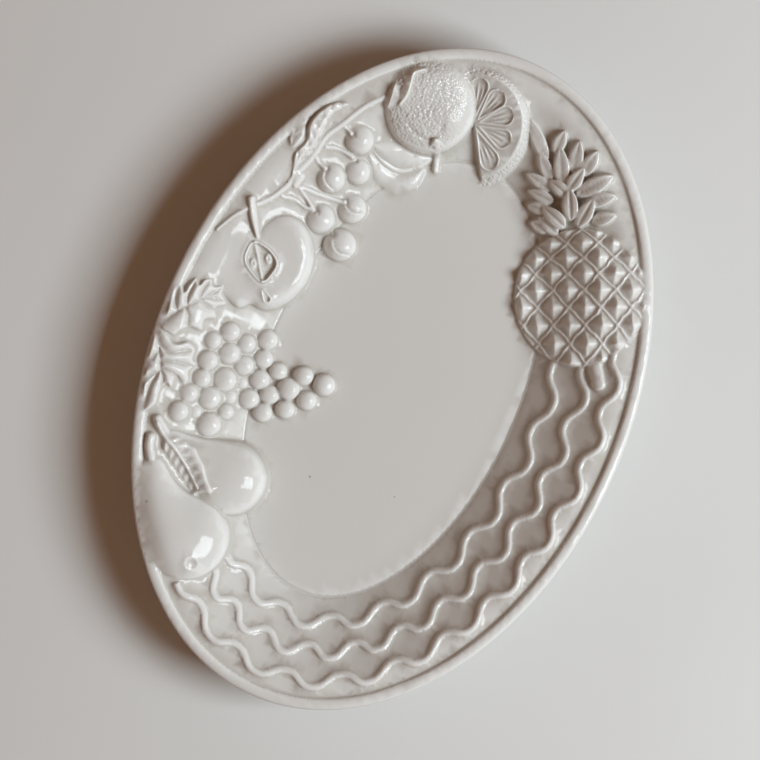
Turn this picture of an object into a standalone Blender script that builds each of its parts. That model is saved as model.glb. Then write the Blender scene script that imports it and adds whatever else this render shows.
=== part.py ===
"""An oval faience serving dish with a moulded garland of fruit and three wavy ribs on its flange.

It is one cast and glazed piece. Metres, +Z up, the long axis along Y, standing on its foot ring.
A place on the dish is given by its turn, in degrees round the oval from +X, and by how far it lies
across the flange: 0 at the outer edge, 1 at the edge of the well, more inside the well.
Carving is sized in shares of the flange's width.
"""

import math

import bmesh
import bpy
import numpy as np

# Driving dimensions
DISH_LENGTH = 0.440
DISH_WIDTH = 0.307
FLANGE_WIDTH = 0.069
FLANGE_RISE = 0.0310
FLANGE_HOLLOW = 0.08
BORDER_WIDTH = 0.015
REST_RISE = 0.0220
WELL_DEPTH = 0.0025
COVE_WIDTH = 0.012
WALL = 0.0055
BEAD_WIDTH = 0.0075
BEAD_HEIGHT = 0.0028
BEAD_DROP = 0.0042
FOOT_HEIGHT = 0.003
FOOT_WIDTH = 0.006
FOOT_INSET = 0.073
RIB_WIDTH = 0.0044
RIB_COUNT = 3
RIB_OUTER_INSET = 0.0185
RIB_PITCH = 0.0180
RIB_SWING = 0.0042
RIB_START_TURN = 23.0
RIB_END_TURN = -122.0
RIB_FIRST_CRESTS = (0.027, 0.036, 0.039)
RIB_WAVES = (0.0360, 0.0385, 0.0420)
RIB_WAVE_CHANGES = (0.0, -0.0006, -0.0007)
ROOT_DEPTH = 0.0036
EDGE_MARGIN = 0.0012

# Mesh steps
OVAL_STEPS = 64
COVE_STEPS = 2
FLANGE_STEPS = 3
BEAD_STEPS = 5
BEAD_SWEEP = 225
POINTS_PER_WAVE = 5
DOME_LEVELS = (0, 28, 56)
GRAPE_LEVELS = (0, 42)
GRAPE_SIDES = 7
CHERRY_SIDES = 10
ORANGE_SIDES = 18
SKIRT = 0.0005

# What follows from the dimensions
HALF_WIDTH = DISH_WIDTH / 2
HALF_LENGTH = DISH_LENGTH / 2
FLOOR_HEIGHT = FOOT_HEIGHT + WALL
SHOULDER_HEIGHT = FLOOR_HEIGHT + WELL_DEPTH
FLANGE_TOP = SHOULDER_HEIGHT + FLANGE_RISE
WELL_INSET = FLANGE_WIDTH + COVE_WIDTH

# The garland: (turn, across) places, and sizes in shares of the flange's width
CHERRIES = (
    ((134.0, 0.53), 0.135),
    ((137.4, 0.76), 0.125),
    ((144.3, 0.64), 0.135),
    ((152.0, 0.84), 0.138),
    ((143.5, 0.99), 0.138),
    ((152.2, 1.14), 0.152),
)
STEMS = (
    ((136.6, 0.36), (136.1, 0.44), (135.1, 0.50)),
    ((141.8, 0.41), (140.0, 0.48), (137.4, 0.66)),
    ((144.9, 0.41), (145.0, 0.53), (144.2, 0.61)),
    ((151.2, 0.48), (152.0, 0.70), (152.0, 0.79)),
    ((150.8, 0.50), (148.3, 0.69), (144.2, 0.94)),
    ((151.8, 0.93), (152.0, 1.00), (152.4, 1.07)),
)
TWIG = (
    (124.5, 0.30),
    (133.1, 0.32),
    (141.1, 0.36),
    (148.3, 0.43),
    (153.6, 0.43),
    (159.8, 0.33),
    (165.5, 0.17),
)
BERRY_HEIGHT = 0.78
ORANGE = ((114.1, 0.49), 0.42)
ORANGE_HEIGHT = 0.42
ORANGE_STEM = ((111.9, 0.80), (112.0, 0.92), (112.2, 1.07))
SLICE = ((99.4, 0.714), 0.52)
SLICE_EDGE = ((105.0, 0.20), (88.3, 1.192))
SLICE_EDGE_HEIGHT = 0.012
SLICE_LEAN = 0.36
SEGMENT = ((0.16, -0.02), (0.66, -0.18), (0.74, 0.0), (0.66, 0.18), (0.16, 0.02))
SEGMENT_COUNT = 5
SEGMENT_RISE = 0.02
PINEAPPLE = ((33.7, 0.672), 0.64, 0.61)
PINEAPPLE_AXIS = 124.0
PINEAPPLE_HEIGHT = 0.11
STUD_PITCH = (0.28, 0.141)
STUD_CORNERS = ((0.47, 0), (0, 0.92), (-0.47, 0), (0, -0.92))
STUD_HEIGHT = 0.045
STUDS_END = 0.92
PINEAPPLE_STEM = ((23.0, 0.60), (20.1, 0.52), (16.1, 0.42))
CROWN_BASE = (51.0, 0.74)
# Each tier of the crown: its start up the axis, first and last fan angle, count, first and last reach, height
CROWN_TIERS = (
    (0.00, 72, -86, 6, 0.36, 0.46, 0.06),
    (0.16, 45, -62, 5, 0.50, 0.52, 0.08),
    (0.36, 12, -36, 4, 0.58, 0.52, 0.095),
)
APPLE = ((168.1, 0.627), 0.485)
APPLE_AXIS = 122.0
APPLE_RINGS = ((1.0, 0.0), (0.97, 0.05), (0.86, 0.085))
APPLE_FACE = 0.075
APPLE_EYE = 0.15
APPLE_SEED = (0.07, 0.025)
APPLE_STEM = ((160.2, 0.26), (162.4, 0.37), (165.4, 0.52))
BUNCH = (-164.2, 0.94)
# The pears: the core's places from blossom end to neck, the half widths and heights along it
PEARS = {
    "back pear": (
        ((-133.5, 1.10), (-136.5, 1.02), (-139.9, 0.93), (-143.5, 0.78))
        + ((-147.0, 0.62), (-150.4, 0.50), (-153.5, 0.40)),
        (0.0, 0.24, 0.32, 0.29, 0.22, 0.18, 0.0),
        (0.0, 0.12, 0.16, 0.15, 0.12, 0.09, 0.0),
    ),
    "front pear": (
        ((-122.5, 0.40), (-126.5, 0.40), (-130.5, 0.41), (-135.5, 0.36))
        + ((-140.5, 0.28), (-145.0, 0.22), (-149.5, 0.17)),
        (0.0, 0.29, 0.385, 0.345, 0.235, 0.185, 0.0),
        (0.0, 0.14, 0.18, 0.165, 0.12, 0.085, 0.0),
    ),
}
PEAR_STEM = ((-148.0, 0.18), (-150.5, 0.17), (-152.8, 0.17))
BLOSSOM_END = ((-124.0, 0.418), 0.05)
BLOSSOM_LEVELS = (0.13, 0.18)

# Leaves: the midrib's places, the half widths and heights along it
LEAVES = {
    "branch leaf": (
        ((153.2, 0.42), (148.9, 0.32), (144.7, 0.28), (141.0, 0.19), (136.6, 0.18), (132.6, 0.24)),
        (0.0, 0.05, 0.065, 0.07, 0.06, 0.0),
        (0.0, 0.035, 0.045, 0.045, 0.04, 0.0),
    ),
    "rim leaf": (
        ((148.5, 0.28), (146.0, 0.14), (142.3, 0.07), (138.5, 0.06)),
        (0.0, 0.04, 0.045, 0.0),
        (0.0, 0.03, 0.03, 0.0),
    ),
    "orange leaf": (
        ((127.5, 0.39), (124.5, 0.34), (121.0, 0.27), (115.7, 0.17)),
        (0.0, 0.06, 0.065, 0.0),
        (0.0, 0.07, 0.10, 0.06),
    ),
    "lower pod": (
        ((133.0, 0.72), (131.6, 0.88), (127.5, 1.03), (121.8, 1.09), (115.0, 0.98)),
        (0.0, 0.075, 0.09, 0.085, 0.0),
        (0.0, 0.035, 0.045, 0.04, 0.0),
    ),
    "upper pod": (
        ((132.0, 0.66), (127.0, 0.80), (121.4, 0.90), (114.0, 0.93)),
        (0.0, 0.07, 0.08, 0.0),
        (0.0, 0.04, 0.06, 0.0),
    ),
    "pear leaf": (
        ((-153.5, 0.25), (-151.0, 0.34), (-148.0, 0.44), (-143.6, 0.57), (-138.2, 0.72)),
        (0.0, 0.09, 0.12, 0.11, 0.0),
        (0.0, 0.16, 0.20, 0.22, 0.0),
    ),
}
VINE_LEAVES = (
    ((-178.0, 0.28), 0.31, 48.0),
    ((-165.6, 0.23), 0.32, -70.0),
)
LEAF_LOBES = 5

# The bunch of grapes, row by row: first and last grape from the bunch's middle, and how many
GRAPE_ROWS = (
    ((0.71, 0.30), (0.71, 0.30), 1),
    ((0.62, 0.10), (0.50, 0.30), 2),
    ((0.47, -0.06), (0.42, 0.13), 2),
    ((0.29, -0.17), (0.26, 0.24), 3),
    ((0.12, -0.10), (0.06, 0.47), 4),
    ((-0.03, -0.30), (-0.11, 0.36), 4),
    ((-0.12, -0.47), (-0.29, 0.40), 5),
    ((-0.28, -0.41), (-0.40, 0.26), 4),
    ((-0.42, -0.46), (-0.40, -0.27), 2),
)
GRAPE_RADIUS = 0.102


def inset_of(points):
    """How far inside the outer edge each plan point lies, found by halving."""
    x, y = points[:, 0], points[:, 1]
    low = np.zeros(len(points))
    high = np.full(len(points), HALF_WIDTH * 0.999)
    for _ in range(40):
        middle = (low + high) / 2
        outside = (x / (HALF_WIDTH - middle)) ** 2 + (y / (HALF_LENGTH - middle)) ** 2 > 1
        high = np.where(outside, middle, high)
        low = np.where(outside, low, middle)
    return (low + high) / 2


def height_at(inset):
    """The upper surface without its bead: a level border, a hollow slope, a cove and a flat floor."""
    down = np.clip((inset - BORDER_WIDTH) / (FLANGE_WIDTH - BORDER_WIDTH), 0, 1)
    flange = FLANGE_TOP - FLANGE_RISE * ((1 + FLANGE_HOLLOW) * down - FLANGE_HOLLOW * down**2)
    into_cove = np.clip((inset - FLANGE_WIDTH) / COVE_WIDTH, 0, 1)
    return flange - WELL_DEPTH * (1 - (1 - into_cove) ** 2)


def ground(points):
    return height_at(inset_of(points))


def shelf(points):
    """The gentler slope that large fruit lie on, carried on level over the well."""
    return FLANGE_TOP - REST_RISE * np.clip(inset_of(points) / FLANGE_WIDTH, 0, 1)


def oval(inset, share=1.0, steps=OVAL_STEPS):
    turns = np.arange(steps) * 2 * math.pi / steps
    reach = np.array([HALF_WIDTH - inset, HALF_LENGTH - inset]) * share
    return np.stack([np.cos(turns), np.sin(turns)], 1) * reach


def spot(turn, across):
    """The plan point at a turn round the oval and a share across the flange."""
    inset = across * FLANGE_WIDTH
    angle = math.radians(turn)
    return np.array([(HALF_WIDTH - inset) * math.cos(angle), (HALF_LENGTH - inset) * math.sin(angle)])


def kept_inside(points):
    """Plan points pulled back to just inside the outer edge."""
    reach = np.hypot(points[:, 0] / (HALF_WIDTH - EDGE_MARGIN), points[:, 1] / (HALF_LENGTH - EDGE_MARGIN))
    return points / np.maximum(reach, 1)[:, None]


def lifted(points, heights):
    return np.column_stack([points, np.broadcast_to(heights, len(points))])


def turned(points, degrees):
    angle = math.radians(degrees)
    turn = np.array([[math.cos(angle), math.sin(angle)], [-math.sin(angle), math.cos(angle)]])
    return np.asarray(points) @ turn


def skin(name, loops, collection):
    """A closed solid over a run of loops; a loop of one point is a pole, and open ends are capped."""
    mesh = bmesh.new()
    rings = [[mesh.verts.new(point) for point in loop] for loop in loops]
    for first, second in zip(rings, rings[1:]):
        for k in range(max(len(first), len(second))):
            corners = [first[k % len(first)], first[(k + 1) % len(first)]]
            corners += [second[(k + 1) % len(second)], second[k % len(second)]]
            mesh.faces.new(dict.fromkeys(corners))
    for end in (rings[0], rings[-1]):
        if len(end) > 2:
            mesh.faces.new(end)
    bmesh.ops.triangulate(mesh, faces=[face for face in mesh.faces if len(face.verts) > 3])
    bmesh.ops.recalc_face_normals(mesh, faces=mesh.faces)
    return add_object(name, mesh, collection)


def add_object(name, mesh, collection):
    data = bpy.data.meshes.new(name)
    mesh.to_mesh(data)
    mesh.free()
    obj = bpy.data.objects.new(name, data)
    collection.objects.link(obj)
    return obj


def moulded(name, rings, tops, collection):
    """A raised form: plan rings from its outline inwards, at their own heights, rooted in the flange."""
    rings = [kept_inside(ring) for ring in rings]
    upper = [lifted(ring, top) for ring, top in zip(rings, tops)]
    roots = [lifted(ring, ground(ring) - ROOT_DEPTH) for ring in rings]
    return skin(name, upper[::-1] + roots, collection)


def dome(name, outline, centre, height, collection, on_shelf=False, fullness=1.0, levels=DOME_LEVELS):
    """A swelling over an outline, as the half of a round fruit."""
    rings, tops = [], []
    for level in levels + (90,):
        share = math.cos(math.radians(level)) ** (1 / fullness)
        rise = math.sin(math.radians(level))
        ring = centre + (outline - centre) * share if level < 90 else centre[None, :]
        lift = shelf(ring) - ground(ring) if on_shelf else 0
        rings.append(ring)
        tops.append(ground(ring) + (lift + height) * rise - (SKIRT if level == 0 else 0))
    return moulded(name, rings, tops, collection)


def round_outline(centre, radius, steps, stretch=1.0, axis=0.0):
    turns = np.arange(steps) * 2 * math.pi / steps
    return centre + turned(np.stack([radius * stretch * np.cos(turns), radius * np.sin(turns)], 1), axis)


def across_path(path):
    """The unit vectors to the left of a plan path at each of its points."""
    along = np.gradient(path, axis=0)
    along /= np.linalg.norm(along, axis=1)[:, None]
    return np.stack([-along[:, 1], along[:, 0]], 1)


def laid(name, path, half_widths, heights, section, collection, on_shelf=False):
    """A form that lies along a path: one section at each point, closed to a point at both ends."""
    path = np.array(path)
    left = across_path(path)
    loops = []
    for k in range(len(path)):
        if k in (0, len(path) - 1):
            end = kept_inside(path[k : k + 1])
            loops.append(lifted(end, ground(end) + heights[k] - ROOT_DEPTH / 2))
            continue
        ring = kept_inside(np.array([path[k] + left[k] * side * half_widths[k] for side, _ in section]))
        base = ground(ring)
        rise = np.array([share for _, share in section])
        lift = shelf(ring) - base if on_shelf else 0
        upper = lifted(ring, base + (lift + heights[k]) * rise - SKIRT)
        roots = lifted(ring[[-1, 0]], base[[-1, 0]] - ROOT_DEPTH)
        loops.append(np.vstack([upper, roots]))
    return skin(name, loops, collection)


ROUND_SECTION = ((-1, 0), (-0.8, 0.6), (-0.4, 0.92), (0.0, 1), (0.4, 0.92), (0.8, 0.6), (1, 0))
LEAF_SECTION = ((-1, 0), (-0.6, 1.0), (0.0, 0.55), (0.6, 1.0), (1, 0))
BLADE_SECTION = ((-1, 0), (-0.35, 0.8), (0.0, 1), (0.35, 0.8), (1, 0))


def smooth_path(points, steps):
    """A plan path through a few points, rounded by Catmull-Rom pieces."""
    points = np.array(points)
    padded = np.vstack([2 * points[0] - points[1], points, 2 * points[-1] - points[-2]])
    result = []
    for a, b, c, d in zip(padded, padded[1:], padded[2:], padded[3:]):
        for k in range(steps):
            t = k / steps
            square, cube = 2 * a - 5 * b + 4 * c - d, 3 * b - 3 * c + d - a
            result.append((2 * b + (c - a) * t + square * t**2 + cube * t**3) / 2)
    return np.array(result + [points[-1]])


def cord(name, points, radii, collection):
    """A thin round form along points in space: a bevelled curve made a mesh."""
    curve = bpy.data.curves.new(name, "CURVE")
    curve.dimensions = "3D"
    curve.bevel_depth = 1.0
    curve.bevel_resolution = 1
    curve.use_fill_caps = True
    spline = curve.splines.new("POLY")
    spline.points.add(len(points) - 1)
    for slot, point, radius in zip(spline.points, points, radii):
        slot.co = (*point, 1)
        slot.radius = radius
    guide = bpy.data.objects.new(name, curve)
    data = bpy.data.meshes.new_from_object(guide)
    bpy.data.objects.remove(guide)
    mesh = bmesh.new()
    mesh.from_mesh(data)
    bmesh.ops.remove_doubles(mesh, verts=mesh.verts, dist=1e-6)
    bmesh.ops.recalc_face_normals(mesh, faces=mesh.faces)
    return add_object(name, mesh, collection)


def stem(name, places, thick, thin, collection, lift=0.0, steps=2):
    path = kept_inside(smooth_path([spot(*place) for place in places], steps))
    radii = np.linspace(thick, thin, len(path)) * FLANGE_WIDTH
    return cord(name, lifted(path, ground(path) + lift * FLANGE_WIDTH), radii, collection)


def add_body(collection):
    """The plain dish: floor, cove, flange and bead above; wall, foot ring and recess below."""
    loops = [lifted(np.zeros((1, 2)), FLOOR_HEIGHT)]
    loops.append(lifted(oval(WELL_INSET, 0.5), FLOOR_HEIGHT))
    insets = list(np.linspace(WELL_INSET, FLANGE_WIDTH, COVE_STEPS + 1))
    insets += list(np.linspace(FLANGE_WIDTH, BORDER_WIDTH, FLANGE_STEPS + 1))[1:] + [BEAD_WIDTH]
    loops += [lifted(oval(inset), height_at(inset)) for inset in insets]
    bead_middle = height_at(BEAD_WIDTH / 2)
    for step in range(1, BEAD_STEPS + 1):
        angle = math.pi - math.radians(BEAD_SWEEP) * step / BEAD_STEPS
        reach = BEAD_HEIGHT if angle > 0 else BEAD_DROP
        inset = BEAD_WIDTH / 2 - BEAD_WIDTH / 2 * math.cos(angle)
        loops.append(lifted(oval(inset), bead_middle + reach * math.sin(angle)))
    halfway = (FLANGE_WIDTH + BORDER_WIDTH) / 2
    under = (
        (BORDER_WIDTH, FLANGE_TOP - WALL),
        (halfway, height_at(halfway) - WALL * 1.2),
        (FLANGE_WIDTH - WALL, height_at(FLANGE_WIDTH - WALL) - WALL),
        (FOOT_INSET - WALL / 4, FOOT_HEIGHT + WALL / 3),
        (FOOT_INSET, 0),
        (FOOT_INSET + FOOT_WIDTH, 0),
        (FOOT_INSET + FOOT_WIDTH + FOOT_HEIGHT / 4, FOOT_HEIGHT),
    )
    loops += [lifted(oval(inset), height) for inset, height in under]
    loops.append(lifted(np.zeros((1, 2)), FOOT_HEIGHT))
    return skin("dish", loops, collection)


def add_ribs(collection):
    """Three wavy ribs side by side, from under the pineapple round to the pears."""
    for number in range(RIB_COUNT):
        middle = RIB_OUTER_INSET + number * RIB_PITCH
        turns = np.radians(np.linspace(RIB_START_TURN, RIB_END_TURN, 600))
        track = np.stack([(HALF_WIDTH - middle) * np.cos(turns), (HALF_LENGTH - middle) * np.sin(turns)], 1)
        travelled = np.concatenate([[0], np.cumsum(np.linalg.norm(np.diff(track, axis=0), axis=1))])
        count = round(travelled[-1] / RIB_WAVES[number] * POINTS_PER_WAVE)
        stations = np.linspace(0, travelled[-1], count + 1)
        turns = np.interp(stations, travelled, turns)
        waves = np.arange(-2, count / POINTS_PER_WAVE + 5)
        crests = RIB_FIRST_CRESTS[number] + RIB_WAVES[number] * waves + RIB_WAVE_CHANGES[number] * waves**2
        inset = middle - RIB_SWING * np.cos(2 * math.pi * np.interp(stations, crests, waves))
        path = np.stack([(HALF_WIDTH - inset) * np.cos(turns), (HALF_LENGTH - inset) * np.sin(turns)], 1)
        radius = RIB_WIDTH / 2
        cord(f"rib {number}", lifted(path, ground(path)), [radius] * len(path), collection)


def add_twig(collection):
    stem("twig", TWIG, 0.036, 0.026, collection, steps=3)


def add_cherries(collection):
    for number, (place, share) in enumerate(CHERRIES):
        centre = spot(*place)
        radius = share * FLANGE_WIDTH
        outline = round_outline(centre, radius, CHERRY_SIDES)
        dome(f"cherry {number}", outline, centre, radius * BERRY_HEIGHT, collection)
    for number, places in enumerate(STEMS):
        stem(f"cherry stem {number}", places, 0.020, 0.018, collection, lift=-0.004, steps=3)


def add_grapes(collection):
    middle = spot(*BUNCH)
    radius = GRAPE_RADIUS * FLANGE_WIDTH
    for row, (first, last, count) in enumerate(GRAPE_ROWS):
        for number in range(count):
            share = number / max(count - 1, 1)
            offset = (1 - share) * np.array(first) + share * np.array(last)
            centre = middle + offset * FLANGE_WIDTH
            outline = round_outline(centre, radius, GRAPE_SIDES)
            height = radius * BERRY_HEIGHT
            dome(f"grape {row} {number}", outline, centre, height, collection, levels=GRAPE_LEVELS)


def add_orange(collection):
    place, share = ORANGE
    centre, radius = spot(*place), share * FLANGE_WIDTH
    outline = round_outline(centre, radius, ORANGE_SIDES)
    dome("orange", outline, centre, radius * ORANGE_HEIGHT, collection, on_shelf=True)
    stem("orange stem", ORANGE_STEM, 0.03, 0.026, collection, lift=0.006, steps=3)


def add_slice(collection):
    """Half a slice of orange: its cut face leans down to the straight edge, with five raised segments."""
    place, share = SLICE
    centre, radius = spot(*place), share * FLANGE_WIDTH
    straight = spot(*SLICE_EDGE[1]) - spot(*SLICE_EDGE[0])
    axis = math.degrees(math.atan2(straight[1], straight[0]))
    arc = np.radians(np.linspace(0, 180, 13))
    rim = np.stack([np.cos(arc), np.sin(arc)], 1) * radius
    face = np.stack([np.cos(arc) * 0.93, 0.06 + np.sin(arc) * 0.77], 1) * radius

    def placed(local):
        return centre + turned(local, axis)

    def face_height(local):
        edge = ground(placed(local * (1, 0)))
        return edge + SLICE_EDGE_HEIGHT * FLANGE_WIDTH + np.clip(local[:, 1], 0, None) * SLICE_LEAN

    outline, inner = placed(rim), placed(face)
    hub = np.array([[0.0, 0.12 * radius]])
    tops = [ground(outline) - SKIRT, face_height(face), face_height(hub)]
    moulded("orange slice", [outline, inner, placed(hub)], tops, collection)
    for number in range(SEGMENT_COUNT):
        wedge = turned(np.array(SEGMENT) * radius, 180 * (number + 0.5) / SEGMENT_COUNT) + hub
        middle = wedge.mean(axis=0, keepdims=True)
        inside = middle + (wedge - middle) * 0.7
        tops = [face_height(wedge) - SKIRT, face_height(inside) + SEGMENT_RISE * FLANGE_WIDTH]
        moulded(f"slice segment {number}", [placed(wedge), placed(inside)], tops, collection)


def pineapple_height(local, long, wide):
    """The rise of the pineapple's body over the flange at points in its own plan."""
    reach = np.clip(np.hypot(local[:, 0] / long, local[:, 1] / wide), 0, 1)
    return PINEAPPLE_HEIGHT * FLANGE_WIDTH * np.sqrt(1 - reach**2.4)


def add_pineapple(collection):
    """A broad swelling covered in pyramid studs on a diamond lattice."""
    place, long, wide = PINEAPPLE
    centre, long, wide = spot(*place), long * FLANGE_WIDTH, wide * FLANGE_WIDTH
    outline = round_outline(centre, wide, 20, long / wide, PINEAPPLE_AXIS)
    height = PINEAPPLE_HEIGHT * FLANGE_WIDTH
    dome("pineapple", outline, centre, height, collection, fullness=1.2)
    pitch_along, pitch_across = np.array(STUD_PITCH) * FLANGE_WIDTH
    stud = np.array(STUD_CORNERS) * (pitch_along, pitch_across)
    for column in range(-4, 5):
        for row in range(-3, 4):
            middle = np.array([[(row + 0.5 * (column % 2)) * pitch_along, column * pitch_across]])
            if np.hypot(middle[0, 0] / long, middle[0, 1] / wide) > STUDS_END:
                continue
            corners = middle + stud
            tops = []
            for local, proud in ((corners, -SKIRT), (middle, STUD_HEIGHT * FLANGE_WIDTH)):
                plan = centre + turned(local, PINEAPPLE_AXIS)
                tops.append(ground(plan) + pineapple_height(local, long, wide) + proud)
            placed = [centre + turned(local, PINEAPPLE_AXIS) for local in (corners, middle)]
            moulded(f"stud {column} {row}", placed, tops, collection)
    stem("pineapple stem", PINEAPPLE_STEM, 0.09, 0.11, collection, lift=0.0)


def add_crown(collection):
    """Lance leaves that fan out from the top of the pineapple in three tiers."""
    base = spot(*CROWN_BASE)
    for tier, (start, first, last, count, near, far, height) in enumerate(CROWN_TIERS):
        for number in range(count):
            share = number / (count - 1)
            heading = math.radians(PINEAPPLE_AXIS + first + (last - first) * share)
            reach = (near + (far - near) * share) * FLANGE_WIDTH
            root = base + turned([[start * FLANGE_WIDTH, 0]], PINEAPPLE_AXIS)[0]
            run = np.array([math.cos(heading), math.sin(heading)]) * reach
            path = [root + run * along for along in (0.0, 0.3, 0.65, 1.0)]
            widths = np.array([0, 0.085, 0.075, 0]) * FLANGE_WIDTH
            heights = np.array([0, 0.8, 1.0, 0.3]) * height * FLANGE_WIDTH
            laid(f"crown leaf {tier} {number}", path, widths, heights, BLADE_SECTION, collection)


def apple_radius(angle):
    """The outline of an apple cut through its core, notched at the stem and at the calyx."""
    top = np.exp(-((angle / 0.36) ** 2))
    bottom = np.exp(-(((math.pi - np.abs(angle)) / 0.30) ** 2))
    return 1 - 0.52 * top - 0.36 * bottom


def add_apple(collection):
    """Half an apple: a flat cut face inside a bevel, with the core's eye and two seeds."""
    place, share = APPLE
    centre, radius = spot(*place), share * FLANGE_WIDTH
    angles = np.linspace(-math.pi, math.pi, 30, endpoint=False)
    shape = np.stack([np.cos(angles), np.sin(angles)], 1) * apple_radius(angles)[:, None] * radius
    rings = [centre + turned(shape * scale, APPLE_AXIS) for scale, _ in APPLE_RINGS]
    tops = [shelf(ring) + rise * FLANGE_WIDTH - SKIRT for ring, (_, rise) in zip(rings, APPLE_RINGS)]
    face = shelf(centre[None, :]) + APPLE_FACE * FLANGE_WIDTH
    moulded("apple", rings + [centre[None, :]], tops + [face], collection)
    eye = round_outline(centre, APPLE_EYE * FLANGE_WIDTH, 12, 1.15, APPLE_AXIS)
    eye = np.vstack([eye, eye[:1]])
    eye_radii = [0.02 * FLANGE_WIDTH] * len(eye)
    cord("apple eye", lifted(eye, shelf(eye) + (APPLE_FACE - 0.012) * FLANGE_WIDTH), eye_radii, collection)
    for side in (-1, 1):
        seed = centre + turned([[0.0, side * APPLE_SEED[0] * FLANGE_WIDTH]], APPLE_AXIS)[0]
        outline = round_outline(seed, APPLE_SEED[1] * FLANGE_WIDTH, 8, 1.8, APPLE_AXIS)
        tops = [shelf(outline) + APPLE_FACE * FLANGE_WIDTH, face + APPLE_SEED[1] * FLANGE_WIDTH]
        moulded(f"apple seed {side}", [outline, seed[None, :]], tops, collection)
    stem("apple stem", APPLE_STEM, 0.038, 0.034, collection, lift=0.022)


def add_pears(collection):
    """Two whole pears laid on the flange, the front one over the bead."""
    for name, (places, widths, heights) in PEARS.items():
        path = smooth_path([spot(*place) for place in places], 2)
        stations = np.linspace(0, len(places) - 1, len(path))
        half = np.interp(stations, range(len(widths)), widths) * FLANGE_WIDTH
        tall = np.interp(stations, range(len(heights)), heights) * FLANGE_WIDTH
        laid(name, path, half, tall, ROUND_SECTION, collection, on_shelf=True)
    stem("pear stem", PEAR_STEM, 0.04, 0.03, collection, lift=0.02)
    place, share = BLOSSOM_END
    centre = spot(*place)
    outline = round_outline(centre, share * FLANGE_WIDTH, 10)
    rings = [outline, centre[None, :]]
    tops = [shelf(ring) + rise * FLANGE_WIDTH for ring, rise in zip(rings, BLOSSOM_LEVELS)]
    moulded("blossom end", rings, tops, collection)


def add_leaves(collection):
    for name, (places, widths, heights) in LEAVES.items():
        path = np.array([spot(*place) for place in places])
        half = np.array(widths) * FLANGE_WIDTH
        tall = np.array(heights) * FLANGE_WIDTH
        laid(name, path, half, tall, LEAF_SECTION, collection)


def add_vine_leaves(collection):
    """Five-lobed leaves beside the grapes, ridged to each lobe's tip."""
    for number, (place, share, heading) in enumerate(VINE_LEAVES):
        centre, radius = spot(*place), share * FLANGE_WIDTH
        angles = np.arange(4 * LEAF_LOBES) * math.pi / (2 * LEAF_LOBES)
        reach = radius * (0.80 + 0.20 * np.cos(angles * LEAF_LOBES))
        outline = centre + turned(np.stack([np.cos(angles), np.sin(angles)], 1) * reach[:, None], heading)
        inner = centre + (outline - centre) * 0.6
        ridge = 0.05 + 0.02 * np.cos(angles * LEAF_LOBES)
        tops = [ground(outline) - SKIRT, ground(inner) + ridge * FLANGE_WIDTH]
        tops.append(ground(centre[None, :]) + 0.05 * FLANGE_WIDTH)
        moulded(f"vine leaf {number}", [outline, inner, centre[None, :]], tops, collection)


def white_glaze():
    material = bpy.data.materials.new("white glaze")
    material.use_nodes = True
    shader = material.node_tree.nodes["Principled BSDF"]
    shader.inputs["Base Color"].default_value = (0.80, 0.775, 0.735, 1)
    shader.inputs["Roughness"].default_value = 0.12
    shader.inputs["Metallic"].default_value = 0.0
    return material


def main():
    for obj in list(bpy.data.objects):
        bpy.data.objects.remove(obj)
    garland = bpy.data.collections.new("relief")
    bpy.context.scene.collection.children.link(garland)
    dish = add_body(bpy.context.scene.collection)
    forms = (add_ribs, add_twig, add_cherries, add_grapes, add_orange, add_slice)
    forms += (add_pineapple, add_crown, add_apple, add_pears, add_leaves, add_vine_leaves)
    for add in forms:
        add(garland)
    for helper in garland.objects:
        helper.hide_render = True
        helper.display_type = "WIRE"
    union = dish.modifiers.new("relief", "BOOLEAN")
    union.operation = "UNION"
    union.operand_type = "COLLECTION"
    union.solver = "EXACT"
    union.collection = garland
    dish.data.shade_smooth()
    dish.data.set_sharp_from_angle(angle=math.radians(32))
    dish.data.materials.append(white_glaze())


main()
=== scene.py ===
"""The looks of an oval white faience dish: fruit and wavy ribs moulded on its flange under a glossy glaze.

The upper side is worked as clay is. Each form is raised on one sheet of heights, the glaze softens its edges
and fills its corners, and the sheet then becomes the skin of one closed dish. Heights and widths in the clay
are millimetres. Places on it are pixels of the photograph, which at() turns into millimetres from the middle.
"""

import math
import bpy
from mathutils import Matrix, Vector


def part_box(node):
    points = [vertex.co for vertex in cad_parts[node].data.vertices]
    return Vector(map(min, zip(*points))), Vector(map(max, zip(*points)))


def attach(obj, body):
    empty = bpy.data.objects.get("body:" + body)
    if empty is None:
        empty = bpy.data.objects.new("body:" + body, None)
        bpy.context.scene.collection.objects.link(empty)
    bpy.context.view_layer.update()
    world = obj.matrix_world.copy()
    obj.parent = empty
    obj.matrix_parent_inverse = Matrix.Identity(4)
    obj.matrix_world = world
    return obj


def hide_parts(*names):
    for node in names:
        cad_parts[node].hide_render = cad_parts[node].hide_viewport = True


bl_info = {
    "name": "Faience Fruit Dish",
    "version": (1, 0, 0),
    "blender": (4, 5, 0),
    "location": "3D View > Sidebar > Dish",
    "description": "Makes a white-glazed oval dish with a moulded garland of fruit on its flange",
    "category": "Object",
}

import bpy
import numpy as np
from bpy.props import FloatProperty, FloatVectorProperty, IntProperty, PointerProperty
from mathutils import Vector
from mathutils.bvhtree import BVHTree
from mathutils.geometry import delaunay_2d_cdt

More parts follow.
